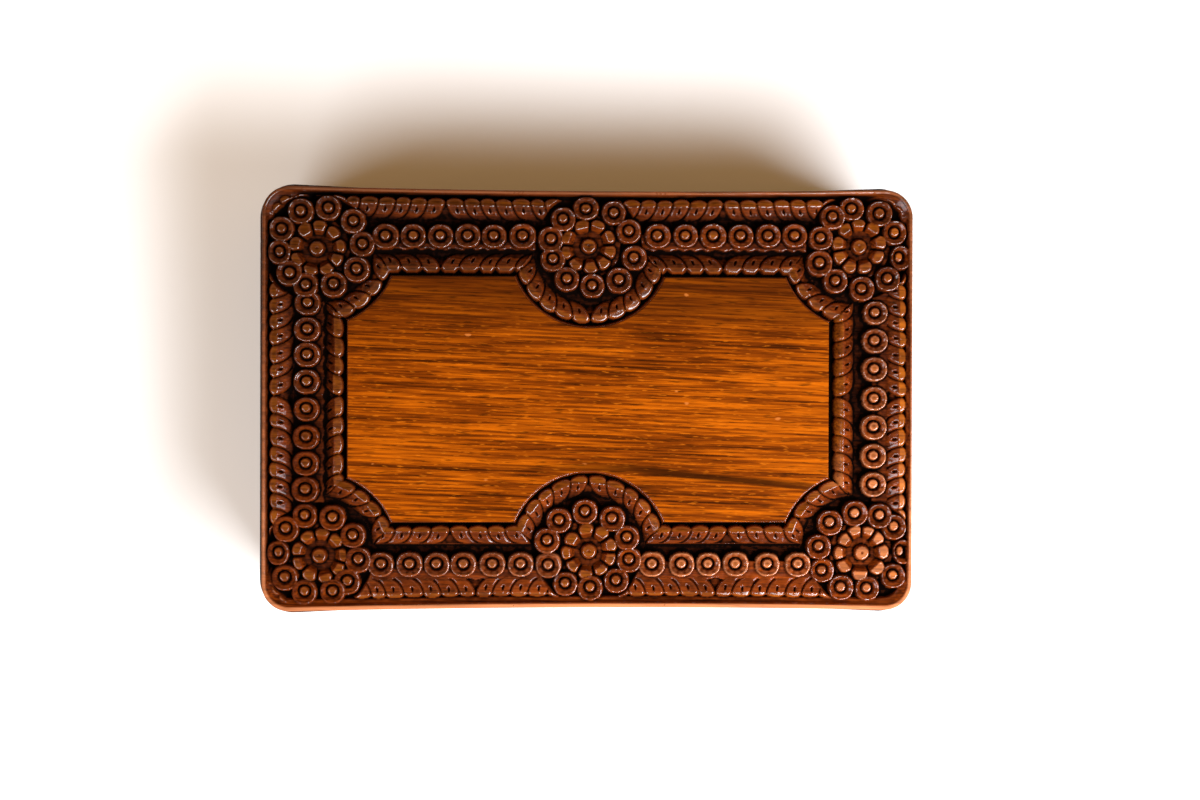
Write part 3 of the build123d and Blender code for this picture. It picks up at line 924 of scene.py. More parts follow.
    def flower(self, centre: Pair, petals: Sequence[float]) -> None:
        """Cuts a flower.

        Args:
            centre: Its middle.
            petals: The petals' directions in degrees, anticlockwise from +X.
        """
        cut = FlowerCut()
        place = self.near(centre, cut.field)
        dx, dy = self.x[place] - centre[0], self.y[place] - centre[1]
        turns = sorted(math.radians(degrees % 360) for degrees in petals)
        for index, turn in enumerate(turns):
            before = (turn - turns[index - 1]) % (2 * math.pi) / 2
            after = (turns[(index + 1) % len(turns)] - turn) % (2 * math.pi) / 2
            ridge, tip, tilt, side = self.rng.uniform(-1, 1, 4)
            out = dx * math.cos(turn) + dy * math.sin(turn)
            aside = dy * math.cos(turn) - dx * math.sin(turn)
            radius, angle = np.hypot(out, aside), np.arctan2(aside, out)
            room = np.where(angle > 0, after, before) - np.abs(angle)
            wedge = radius * np.sin(np.clip(room, -1.5, 1.5)) - cut.gap
            end = np.maximum(out - cut.shoulder, 0) / (cut.reach - cut.shoulder + 0.3 * tip)
            blunt = (np.abs(aside) / cut.half_width) ** 2.6 + end**2.6
            inside = np.minimum(1.5 * (1 - blunt), wedge)
            ridge_at = cut.ridge + 0.7 * ridge + 0.15 * side * aside
            outer = cut.top - 0.06 * (out - ridge_at) + 0.07 * tilt * aside
            inner = cut.top + (out - ridge_at) * 1.05 + 0.12 * side * aside
            level = np.maximum(np.where(out > ridge_at, outer, inner), -2.9)
            wall = polyline(inside, (-0.35, 0.12, 0.4), (1.0, 0.15, 0.0))
            level = level - wall * (level + 3.9)
            flat = ((out > ridge_at) & (inside > 0.2)).astype(float)
            self.keep_higher(place, np.where(np.abs(angle) < 1.2, level, -9.0), flat)
        radius = np.hypot(dx, dy)
        dome = polyline(radius, (0, 0.35, 0.75, cut.dome - 0.2, cut.dome, cut.dome + 0.7),
                        (-1.3, -0.95, -0.7, -0.68, -0.85, -3.0))
        self.keep_higher(place, dome, ((radius < cut.dome) & (radius > 0.5)).astype(float))

    def clear(self, centre: Pair, reach: float) -> None:
        """Cuts a round field down to the ground.

        Args:
            centre: Its middle.
            reach: Its radius at the ground. Its side slopes out over 1.5 mm.
        """
        radius = self.away(centre)
        limit = (-FULL_DEPTH + np.clip(radius - reach, 0, 9) * 2.4) * self.scale
        lower = limit < self.height
        self.height = np.where(lower, limit, self.height)
        self.face = np.where(lower, 0.0, self.face)

    def roughen(self) -> None:
        """Leaves gouge marks in the ground and a slight waver everywhere."""
        wave = np.zeros(self.x.shape)
        for size, amount in ((2.2, 0.5), (3.4, 0.6), (6.5, 0.5)):
            for _ in range(3):
                turn, phase, other = self.rng.uniform(0, 2 * math.pi, 3)
                along = self.x * math.cos(turn) + self.y * math.sin(turn)
                aside = self.y * math.cos(turn) - self.x * math.sin(turn)
                long_wave = np.cos(2 * math.pi * aside / (size * 1.7) + other)
                wave += amount / 3 * np.sin(2 * math.pi * along / size + phase) * long_wave
        deep = np.clip((-self.height / self.depth - 0.45) / 0.4, 0, 1)
        self.height = self.height + wave * self.scale * (0.05 + 0.22 * deep) * (1 - self.face)

    def marks(self, cell: float) -> dict[str, Array]:
        """How hollow, how raised and how much of the old face each point is.

        Args:
            cell: Spacing of the grid.

        Returns:
            Values from 0 to 1 by their names.
        """
        wide = blur(self.height, max(1, round(1.5 / cell)))
        tight = blur(self.height, max(1, round(0.6 / cell)))
        sunk = np.clip((-self.height / self.scale - 2.2) / 1.5, 0, 1)
        hollow = np.clip((wide - self.height) / self.scale * 0.4 - 0.2, 0, 1)
        tight_hollow = np.clip((tight - self.height) / self.scale * 1.6 - 0.1, 0, 1)
        # painted shade below 0 adds to the recess, and painted highlight above 0 adds to the crest
        return {
            "recess": np.clip(0.85 * sunk + hollow + tight_hollow - np.minimum(self.painted_light_shade, 0), 0, 1),
            "crest": np.clip((self.height - tight) / self.scale * 1.5 + np.maximum(self.painted_light_shade, 0), 0, 1),
            "face": self.face,
            "worn": np.zeros(self.height.shape),
        }


def blur(values: Array, reach: int) -> Array:
    """Averages a grid over a square, twice.

    Args:
        values: The grid.
        reach: Cells from the square's middle to its side.

    Returns:
        The blurred grid.
    """
    for _ in range(2):
        for axis in (0, 1):
            before = np.repeat(np.take(values, [0], axis), reach + 1, axis)
            after = np.repeat(np.take(values, [-1], axis), reach, axis)
            total = np.cumsum(np.concatenate([before, values, after], axis), axis)
            size = values.shape[axis]
            high = np.take(total, range(2 * reach + 1, 2 * reach + 1 + size), axis)
            values = (high - np.take(total, range(size), axis)) / (2 * reach + 1)
    return values


# Meshes


def mesh_piece(name: str, points: Array, faces: Sequence[Array], marks: dict[str, Array] | None = None,
               flat: Sequence[bool] = ()) -> bpy.types.Object:
    """Makes a piece from points and groups of faces.

    Args:
        name: The piece's name.
        points: One row of X, Y and Z for each point, in millimetres.
        faces: Arrays of point numbers, one row to a face. The rows of an array are as long as each other.
        marks: Values of the points by their names.
        flat: Which of the groups aren't shaded smooth.

    Returns:
        The piece, not yet riding on a body.
    """
    mesh = bpy.data.meshes.new(name)
    mesh.vertices.add(len(points))
    mesh.vertices.foreach_set("co", (np.asarray(points, np.float64) * MM).ravel())
    groups = [np.atleast_2d(np.asarray(group, np.int32)) for group in faces if len(group)]
    corners = np.concatenate([group.ravel() for group in groups])
    totals = np.concatenate([np.full(len(group), group.shape[1], np.int32) for group in groups])
    mesh.loops.add(len(corners))
    mesh.loops.foreach_set("vertex_index", corners)
    mesh.polygons.add(len(totals))
    mesh.polygons.foreach_set("loop_start", np.concatenate([[0], np.cumsum(totals)[:-1]]).astype(np.int32))
    smooth = [
        np.full(len(group), not (index < len(flat) and flat[index])) for index, group in enumerate(groups)
    ]
    mesh.polygons.foreach_set("use_smooth", np.concatenate(smooth))
    mesh.update(calc_edges=True)
    for mark, values in (marks or {}).items():
        layer = mesh.attributes.new(mark, "FLOAT", "POINT")
        layer.data.foreach_set("value", np.asarray(values, np.float32))
    mesh.validate()
    piece = bpy.data.objects.new(name, mesh)
    bpy.context.scene.collection.objects.link(piece)
    return piece


def dress(piece: bpy.types.Object, material: bpy.types.Material, body: str) -> bpy.types.Object:
    """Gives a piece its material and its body.

    Args:
        piece: The piece, in place.
        material: What it is made of.
        body: The CAD body that carries it.

    Returns:
        The same piece.
    """
    piece.data.materials.clear()
    piece.data.materials.append(material)
    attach(piece, body)
    LOG.info("%s: %d faces on %s", piece.name, len(piece.data.polygons), body)
    return piece


def open_loops(faces: Sequence[Array], count: int) -> list[list[int]]:
    """The loops of edges that only one face has.

    Args:
        faces: Arrays of point numbers, one row to a face.
        count: How many points there are.

    Returns:
        The loops' point numbers, in the faces' direction, and the longest loop first.
    """
    pairs = [(group, k, (k + 1) % group.shape[1]) for group in faces for k in range(group.shape[1])]
    edges = np.concatenate([group[:, [here, after]] for group, here, after in pairs]).astype(np.int64)
    alone = ~np.isin(edges[:, 0] * count + edges[:, 1], edges[:, 1] * count + edges[:, 0])
    following = {int(a): int(b) for a, b in edges[alone]}
    loops = []
    while following:
        start = next(iter(following))
        loop = [start]
        at = following.pop(start)
        while at != start:
            loop.append(at)
            at = following.pop(at)
        loops.append(loop)
    return sorted(loops, key=len, reverse=True)


def facing_down(points: Array, loops: Sequence[Array]) -> Array:
    """Triangles that fill the flat face between loops and face down.

    Args:
        points: Rows of X, Y and Z.
        loops: Point numbers of the outer loop and of the hole.

    Returns:
        One row of three point numbers for each triangle.
    """
    flat = [[Vector((points[i][0], points[i][1], 0)) for i in loop] for loop in loops]
    order = np.concatenate(loops)
    under = np.array([[order[i] for i in face] for face in tessellate_polygon(flat)])
    a, b, c = (points[under[:, k]] for k in range(3))
    turn = (b[:, 0] - a[:, 0]) * (c[:, 1] - a[:, 1]) - (b[:, 1] - a[:, 1]) * (c[:, 0] - a[:, 0])
    under[turn > 0] = under[turn > 0][:, ::-1]
    return under


def grid_faces(number: Array) -> Array:
    """The four-cornered faces of a grid of point numbers, one row to a face."""
    corners = [number[:-1, :-1], number[:-1, 1:], number[1:, 1:], number[1:, :-1]]
    return np.stack(corners, -1).reshape(-1, 4)


def band_faces(ring: Array, below: Array) -> Array:
    """The four-cornered faces between a closed ring of point numbers and the one below it."""
    return np.stack([ring, below, np.roll(below, -1), np.roll(ring, -1)], -1)


def fitted_grid(x: Array, y: Array, inside: Array, cell: float) -> tuple[Array, Array, Array, Array]:
    """Fits the cells of a grid to an edge, by moving the points next to it onto it.

    Args:
        x: The grid's X.
        y: The grid's Y.
        inside: How far each point lies inside the edge.
        cell: Spacing of the grid.

    Returns:
        The moved X and Y, the four-cornered faces and the three-cornered ones.
    """
    across, along = np.gradient(inside, cell)
    steep = np.maximum(along**2 + across**2, 0.3)
    close = np.abs(inside) < 0.56 * cell
    shift = np.where(close, inside / steep, 0.0)
    moved_x, moved_y = x - shift * along, y - shift * across
    kept = close | (inside > 0)
    corners = grid_faces(np.arange(x.size).reshape(x.shape))
    held = kept.ravel()[corners]
    firm = (kept & ~close).ravel()[corners]
    mean = inside.ravel()[corners].mean(axis=1)
    count = held.sum(axis=1)
    quads = corners[(count == 4) & (firm.any(axis=1) | (mean > 0))]
    three = (count == 3) & firm.any(axis=1)
    triangles = corners[three][held[three]].reshape(-1, 3)
    return moved_x, moved_y, quads, triangles


@dataclass(frozen=True)
class FlowerPlace:
    """Where a flower and its rings are, as pixels of the photograph."""

    middle: Pair
    rings: tuple[Pair, ...]
    petals: tuple[int, ...]  # directions in degrees, anticlockwise from +X


BACK_FLOWERS = (
    FlowerPlace((316.6, 248.0), ((300, 210), (328, 207), (353, 220), (362, 243), (356, 268), (333, 283),
                                 (305, 284), (289, 272), (279, 251), (281, 228)),
                (83, 44, 5, -29, -64, -106, -151, 169, 122)),
    FlowerPlace((588.9, 246.0), ((563, 218), (586, 208), (614, 212), (629, 230), (634, 257), (619, 279),
                                 (592, 285), (567, 278), (553, 258), (551, 238)),
                (108, 66, 24, -15, -48, -84, -126, -164, 159)),
    FlowerPlace((859.7, 246.6), ((852, 208), (833, 216), (821, 237), (820, 262), (836, 280), (862, 288),
                                 (888, 278), (899, 257), (895, 232), (880, 213)),
                (92, 53, 11, -27, -75, -116, -151, 172, 129)),
)
FRONT_FLOWERS = (
    FlowerPlace((319.0, 555.8), ((304, 515), (332, 517), (352, 535), (358, 559), (347, 581), (332, 591),
                                 (304, 591), (284, 577), (278, 552), (285, 528)),
                (83, 43, 0, -34, -75, -117, -161, 164, 123)),
    FlowerPlace((589.0, 551.4), ((559, 520), (585, 511), (612, 518), (627, 537), (629, 559), (616, 580),
                                 (590, 587), (565, 583), (548, 565), (547, 540)),
                (97, 55, 15, -20, -56, -99, -138, -176, 146)),
    FlowerPlace((862.2, 553.0), ((855, 513), (830, 522), (819, 546), (822, 570), (841, 587), (867, 588),
                                 (893, 575), (900, 551), (894, 526), (880, 515)),
                (108, 72, 43, 3, -43, -95, -145, 180, 142)),
)
QUARTERS = ((1, -1), (1, 1), (-1, -1), (-1, 1))  # signs of Y and X, from the back left to the front right


@dataclass
class CarvedLid:
    """The lid board: a carved border with a smooth rim round a plain polished panel."""

    outline: Outline = Outline(127.0, 82.75, 1.5, 11.0)
    cartouche: Cartouche = Cartouche(93.9, 47.75, 31.8, 106.2, 59.75)
    top: float = 76.0
    bottom: float = 64.0
    depth: float = 5.0
    edge_round: float = 0.85
    under_round: float = 1.6
    channel: float = 1.7  # from the panel to the inner leaves' heads
    clearing: float = 20.4  # radius of the sunk field round a flower
    back_cut: LeafCut = LeafCut(6.5, 8.4, 6.0, 2.9, eye=4.8, foot=-3.7)
    front_cut: LeafCut = LeafCut(6.85, 8.0, 7.4, 1.8, scallop=1.5, eye=3.3, foot=-2.2)
    end_cut: LeafCut = LeafCut(6.3, 8.9, 6.6, 2.9, eye=4.2, tilt=0.06, lift=0.15)
    inner_back_cut: LeafCut = LeafCut(7.2, 7.5, 7.0, 2.2, scallop=1.9, eye=4.4, foot=-3.7, wall=1.6,
                                      square=True)
    inner_front_cut: LeafCut = LeafCut(7.2, 6.9, 5.4, 2.3, scallop=1.9, eye=3.7, foot=-2.4, stain_and_shade=0.15)
    inner_left_cut: LeafCut = LeafCut(7.6, 8.2, 6.8, 3.6, scallop=2.1, eye=5.2, foot=-4.4, stain_and_shade=0.4)
    inner_right_cut: LeafCut = LeafCut(7.2, 8.6, 5.0, 4.3, scallop=2.1, eye=5.6, tilt=0.1, lift=0.3, nose=2.7)
    inner_cut: LeafCut = LeafCut(7.2, 7.8, 6.4, 2.9, scallop=2.0, eye=4.6)
    row_back: float = 235.0  # the rows' lines, as pixels of the photograph
    row_front: float = 563.8
    row_left: float = 305.8
    row_right: float = 874.4
    row_lean: float = 0.013  # how fast the short rows run to the left, going forwards
    top_row: tuple[float, ...] = (385, 413, 440, 467.5, 493.5, 522.5, 657.5, 685.5, 713.5, 741, 768.5, 795)
    bottom_row: tuple[float, ...] = (380.5, 409, 436, 463, 492, 520.5, 548,
                                     652, 681.5, 708, 735.5, 767.5, 798)
    left_row: tuple[float, ...] = (302, 328, 354, 381, 408, 436, 463, 489)
    right_row: tuple[float, ...] = (312, 340, 368.5, 398, 426.5, 455.5, 484)
    row_middle: float = 398.0  # the pixel row where the short rows' lines are read
    outer_mirrors: Quad = (445, 723, 476, 716)  # pixel columns where the long bands turn, by quarters
    inner_mirrors: Quad = (440, 723, 450, 728)
    end_mirror: float = 1.2  # Y where the bands at the ends turn
    outer_band: Pair = (1.5, 12.8)  # how far in from the lid's edge the outer bands lie
    inner_band: Pair = (-1.2, 10.5)  # how far out from the inner heads the inner bands lie
    back_heads: float = 3.1  # how far in from the lid's edge the heads lie
    front_heads: float = 4.3
    left_heads: float = 2.8
    right_heads: float = 2.2
    corner_heads: float = 3.4
    corner_run: float = 8.0  # radius on which the leaves of a corner are spaced
    bite_run: float = 28.5  # the same for the leaves round a bite
    back_ledge: Pair = (6.0, -2.6)  # reach and level of the shelf beside each row
    front_ledge: Pair = (6.5, -2.2)
    left_ledge: Pair = (6.8, -3.1)
    right_ledge: Pair = (5.8, -2.8)
    rim_back: Section = ((0.0, 0.25, 0.8, 1.2), (0.0, -0.25, -3.0, -4.6))
    rim_front: Section = ((0.0, 2.7, 3.1, 3.5), (0.0, -1.0, -3.2, -4.6))
    rim_right: Section = ((0.0, 0.3, 1.5, 2.0), (0.0, -0.6, -1.5, -4.6))
    rim_corner: Section = ((0.0, 0.3, 3.2, 3.9), (0.0, -0.3, -1.9, -4.6))
    lip: Section = ((0.0, 0.35, 1.2, 1.6), (-0.42, -0.9, -3.3, -4.5))  # beside the panel
    sheen_at: Pair = (110.0, -52.0)  # where the painted sheen on the flats is strongest
    sheen_reach: Pair = (18.0, 30.0)
    ring_crest_light: float = 5.2  # radius of the painted light on a ring's crest
    seed: int = 7

    def flowers(self) -> list[tuple[Pair, list[Pair], tuple[int, ...]]]:
        """Places the flowers on the lid.

        Returns:
            Each flower's middle, its rings' middles and its petals' directions.
        """
        return [
            (VIEW.on_lid(*flower.middle), [VIEW.on_lid(*ring) for ring in flower.rings], flower.petals)
            for flower in BACK_FLOWERS + FRONT_FLOWERS
        ]

    def row_rings(self) -> list[Pair]:
        """Places the rings that stand in rows.

        Returns:
            Their middles on the lid.
        """
        rows = [(px, self.row_back) for px in self.top_row] + [(px, self.row_front) for px in self.bottom_row]
        for px, row in ((self.row_left, self.left_row), (self.row_right, self.right_row)):
            rows += [(px - (py - self.row_middle) * self.row_lean, py) for py in row]
        return [VIEW.on_lid(*place) for place in rows]

    def rim(self, x: Array, y: Array, inset: Array) -> tuple[Array, Array]:
        """The rim's levels: it is widest at the front, narrowest at the right, and eases down at both.

        Args:
            x: X of the points.
            y: Their Y.
            inset: How far they lie in from the lid's edge.

        Returns:
            Levels, far below the ground beyond the rim's foot, and how far points lie in from the rim's flat.
        """
        out = np.clip(y / self.outline.depth, -1, 1)
        front = np.maximum(-out, 0) ** 6
        end = np.clip((np.abs(x) - 112) / 12, 0, 1) * np.clip(1.4 - np.abs(out) * 1.6, 0, 1)
        right = end * (x > 0)
        corner = np.clip((np.abs(x) - 106) / 10, 0, 1) * np.clip((np.abs(y) - 64) / 8, 0, 1)
        at = inset - (1.15 + 0.35 * front - 0.45 * right)
        steep = polyline(at, *self.rim_back)
        for share, section in ((front, self.rim_front), (right, self.rim_right), (corner, self.rim_corner)):
            steep = steep + (polyline(at, *section) - steep) * share
        return steep, at + 0.3 * right

    def outer_leaves(self, relief: Relief, inset: Array) -> None:
        """Cuts the band of leaves along the rim.

        Args:
            relief: The border's grid.
            inset: How far its points lie in from the lid's edge.
        """
        x, y = relief.x, relief.y
        corner_x = self.outline.length - self.outline.radius
        corner_y = self.outline.depth - self.outline.radius
        near = between(inset, *self.outer_band)
        side = self.outline.edge(np.minimum(np.abs(x), self.outline.length)) - np.abs(y)
        for (face, hand), mirror in zip(QUARTERS, self.outer_mirrors):
            cut, heads = (self.back_cut, self.back_heads) if face > 0 else (self.front_cut, self.front_heads)
            place = near & (y * face > 0) & (x * hand > 0) & (np.abs(x) < corner_x) & (inset > side - 0.5)
            relief.leaves(place, x[place], inset[place] - heads, column(mirror), cut)
        for hand, heads in ((-1, self.left_heads), (1, self.right_heads)):
            place = near & (x * hand > corner_x - 6) & (np.abs(y) < corner_y)
            place &= inset > self.outline.length - np.abs(x) - 0.5
            relief.leaves(place, y[place], inset[place] - heads, self.end_mirror, self.end_cut)
        for hand in (-1, 1):
            for face in (-1, 1):
                place = near & (x * hand >= corner_x) & (y * face >= corner_y)
                turn = np.arctan2(np.abs(y[place]) - corner_y, np.abs(x[place]) - corner_x)
                run, across = turn * self.corner_run, inset[place] - self.corner_heads
                relief.leaves(place, run, across, 0.8 * self.corner_run, self.end_cut)

    def inner_leaves(self, relief: Relief, out: Array, past: Array) -> None:
        """Cuts the band of leaves along the panel.

        Args:
            relief: The border's grid.
            out: How far its points lie out of the panel.
            past: What they lie past, in the numbers that the cartouche gives.
        """
        x, y = relief.x, relief.y
        across = out - self.channel
        band = between(across, *self.inner_band)
        for (face, hand), mirror in zip(QUARTERS, self.inner_mirrors):
            place = band & (past == 1) & (y * face > 0) & (x * hand > 0)
            cut = self.inner_back_cut if face > 0 else self.inner_front_cut
            relief.leaves(place, x[place], across[place], column(mirror), cut)
        for hand, cut in ((-1, self.inner_left_cut), (1, self.inner_right_cut)):
            place = band & (past == 0) & (x * hand > 0)
            relief.leaves(place, y[place], across[place], self.end_mirror, cut)
        for index, (cx, cy) in enumerate(self.cartouche.centres()):
            place = band & (past == index + 2)
            inward = math.atan2(-cy, -cx if cx else 0.0)
            turn = np.arctan2(y[place] - cy, x[place] - cx) - inward
            turn = (turn + math.pi) % (2 * math.pi) - math.pi
            relief.leaves(place, turn * self.bite_run, across[place], 0.3, self.inner_cut)

    def ledges(self, relief: Relief) -> None:
        """Leaves the shelves in front of the long rows of rings and to the right of the short ones.

        Args:
            relief: The border's grid.
        """
        x, y = relief.x, relief.y
        for off, along, reach, ledge in (
            (row(self.row_back) - y, x, 108, self.back_ledge),
            (row(self.row_front) - y, x, 108, self.front_ledge),
            (x - column(self.row_left), y, 64, self.left_ledge),
            (x - column(self.row_right), y, 64, self.right_ledge),
        ):
            place = between(off, -0.5, 8) & (np.abs(along) < reach)
            relief.ledge(place, off[place], along[place], *ledge)

    def carve(self, relief: Relief) -> None:
        """Cuts the whole border.

        Args:
            relief: Its grid, cut to the ground.
        """
        inset = self.outline.inset(relief.x, relief.y)
        out, past = self.cartouche.outside(relief.x, relief.y)
        self.outer_leaves(relief, inset)
        self.inner_leaves(relief, out, past)
        self.ledges(relief)
        flowers = self.flowers()
        for middle, _, _ in flowers:
            relief.clear(middle, self.clearing)
        for place in self.row_rings():
            relief.ring(place, 1.0 + relief.rng.uniform(-0.04, 0.04), (1.0, 0.95))
        for middle, rings, petals in flowers:
            for ring in rings:
                squash, push = self.room(ring)
                relief.ring(ring, 0.96 + relief.rng.uniform(-0.03, 0.05), squash, push)
            relief.flower(middle, petals)
        relief.roughen()
        rim, _ = self.rim(relief.x, relief.y, inset)
        lip = polyline(out / np.where(past > 1, 1.0, 0.5), *self.lip)
        relief.keep_higher(np.ones(relief.x.shape, bool), np.maximum(rim, lip).ravel(), np.zeros(rim.size))

    def room(self, ring: Pair) -> tuple[Pair, Pair]:
        """How the rim beside a ring narrows it and pushes its outer edge inwards.

        Args:
            ring: The ring's middle.

        Returns:
            How much narrower it is, and how far its edge is pushed, each along X and Y.
        """
        spans = (self.outline.length - abs(ring[0]), float(self.outline.edge(abs(ring[0]))) - abs(ring[1]))
        squash, push = [], []
        for at, span in zip(ring, spans):
            room = span - 2.2
            half = min(5.0, (room + 4.8) / 2)
            squash.append(half / 5.0)
            push.append(math.copysign(min(0.0, room - half) * 5.0 / half, at) * (1 if room < half else 0))
        return (squash[0], squash[1]), (push[0], push[1])

    def build_border(self, material: bpy.types.Material) -> bpy.types.Object:
        """Makes the carved border as a closed piece.

        Args:
            material: The carving's finish.

        Returns:
            The piece.
        """
        reach_x = math.ceil(self.outline.length / CELL) * CELL
        reach_y = math.ceil(self.outline.depth / CELL) * CELL
        xs = np.arange(-reach_x, reach_x + CELL / 2, CELL)
        ys = np.arange(-reach_y, reach_y + CELL / 2, CELL)
        x, y = np.meshgrid(xs, ys)
        panel, _ = self.cartouche.outside(x, y)
        inside = np.minimum(self.outline.inset(x, y) - self.edge_round, panel)
        moved_x, moved_y, quads, triangles = fitted_grid(x, y, inside, CELL)
        relief = Relief(moved_x, moved_y, self.depth, np.random.default_rng(self.seed))
        self.carve(relief)
        marks = relief.marks(CELL)
        marks["worn"] = self.wear(relief, marks)
        used = np.unique(np.concatenate([quads.ravel(), triangles.ravel()]))
        renumber = np.full(x.size, -1)
        renumber[used] = np.arange(len(used))
        quads, triangles = renumber[quads], renumber[triangles]
        surface = np.stack([moved_x, moved_y, self.top + relief.height], -1).reshape(-1, 3)[used]
        outer, inner = open_loops((quads, triangles), len(used))[:2]
        points, sides, last = [surface], [quads], []
        total = len(surface)
        for loop, section in ((outer, self.rim_section()), (inner, [(0.0, self.bottom)])):
            row = np.array(loop)
            for outset, level in section:
                at = surface[loop].copy()
                if outset:
                    at[:, :2] = self.pushed(at[:, :2], outset)
                at[:, 2] = level
                fresh = total + np.arange(len(loop))
                sides.append(np.stack([np.roll(row, -1), row, fresh, np.roll(fresh, -1)], -1))
                points.append(at)
                total += len(loop)
                row = fresh
            last.append(row)
        points = np.concatenate(points)
        faces = [np.concatenate(sides), triangles, facing_down(points, last)]
        rest = np.zeros(total - len(surface))
        values = {mark: np.concatenate([grid.ravel()[used], rest]) for mark, grid in marks.items()}
        # the rim's outer face gets the same pale wear and painted light
        rim_edge_wear_and_light = self.rim_wear_and_light(surface[outer][:, 0], surface[outer][:, 1])
        values["worn"][len(surface):len(surface) + 4 * len(outer)] = np.tile(rim_edge_wear_and_light, 4)
        piece = mesh_piece("carved_border", points, faces, values, (False, False, True))
        dress(piece, material, "lid")
        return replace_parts(piece, "lid_board")

    def wear(self, relief: Relief, marks: dict[str, Array]) -> Array:
        """Where the border is pale: rim wear, and painted light on the rim, front right flats and ring
        crests.

        Args:
            relief: The carved border.
            marks: Its other marks.

        Returns:
            Values from 0 to 1.
        """
        x, y = relief.x, relief.y
        _, past_rim = self.rim(x, y, self.outline.inset(x, y))
        off_x = (x - self.sheen_at[0]) / self.sheen_reach[0]
        off_y = (y - self.sheen_at[1]) / self.sheen_reach[1]
        worn = np.clip(1 - past_rim / 0.35, 0, 1) * self.rim_wear_and_light(x, y)
        # painted sheen on the flats at the front right
        worn = np.maximum(worn, 0.36 * marks["face"] * np.clip(1.4 - np.hypot(off_x, off_y), 0, 1))
        # painted light on the rings' crests, stronger towards the front right
        ring_crest_light = 0.6 * marks["crest"] * np.clip((0.6 * x - y) / 90, 0, 1)
        for ring in self.row_rings():
            worn = np.where(relief.near(ring, self.ring_crest_light), np.maximum(worn, ring_crest_light), worn)
        return worn

    def rim_wear_and_light(self, x: Array, y: Array) -> Array:
        """How pale wear and painted light make the rim: most at the front, least at the left end."""
        return 0.38 + 0.52 * np.clip(0.4 - y / 90, 0, 1) - 0.22 * np.clip(-x - 112, 0, 10) / 10

    def rim_section(self) -> list[Pair]:
        """The rim's outer face from its top to the underside.

        Returns:
            Pairs of an outset and a level.
        """
        round_top, round_under = self.edge_round, self.under_round
        section = []
        for step in range(1, 6):
            turn = math.pi / 2 * step / 5
            section.append((round_top * math.sin(turn), self.top - round_top * (1 - math.cos(turn))))
        section.append((round_top, self.bottom + round_under))
        for step in range(1, 5):
            turn = math.pi / 2 * step / 4
            outset = round_top - round_under * (1 - math.cos(turn))
            section.append((outset, self.bottom + round_under * (1 - math.sin(turn))))
        return section

    def pushed(self, at: Array, outset: float) -> Array:
        """Points moved out square to the outline.

        Args:
            at: Rows of X and Y.
            outset: How far they move.

        Returns:
            The moved rows.
        """
        small = 0.05
        x, y = at[:, 0], at[:, 1]
        slope_x = (self.outline.inset(x + small, y) - self.outline.inset(x - small, y)) / (2 * small)
        slope_y = (self.outline.inset(x, y + small) - self.outline.inset(x, y - small)) / (2 * small)
        size = np.hypot(slope_x, slope_y)
        return at - outset * np.stack([slope_x / size, slope_y / size], -1)

    def build_panel(self, material: bpy.types.Material) -> bpy.types.Object:
        """Makes the plain panel, with a fine round along its edge.

        Args:
            material: The panel's finish.

        Returns:
            The piece.
        """
        section = [(-0.45, 0.0), (-0.22, -0.05), (-0.07, -0.2), (0.0, -0.42), (0.0, self.bottom - self.top)]
        rows = [self.cartouche.path(grow) for grow, _ in section]
        points = [(x, y, self.top + level) for (_, level), row in zip(section, rows) for x, y in row]
        # Every row is numbered as long as the first. The last three have four points more, so the faces below
        # the first two rows lie slightly askew, all within the panel's edge and under the felt.
        number = np.arange(len(rows) * len(rows[0])).reshape(len(rows), -1)
        sides = np.concatenate([band_faces(ring, below) for ring, below in zip(number, number[1:])])
        faces = [sides, number[:1], number[-1:, ::-1]]
        piece = mesh_piece("plain_panel", np.array(points), faces, None, (False, True, True))
        dress(piece, material, "lid")
        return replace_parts(piece, "lid_board")


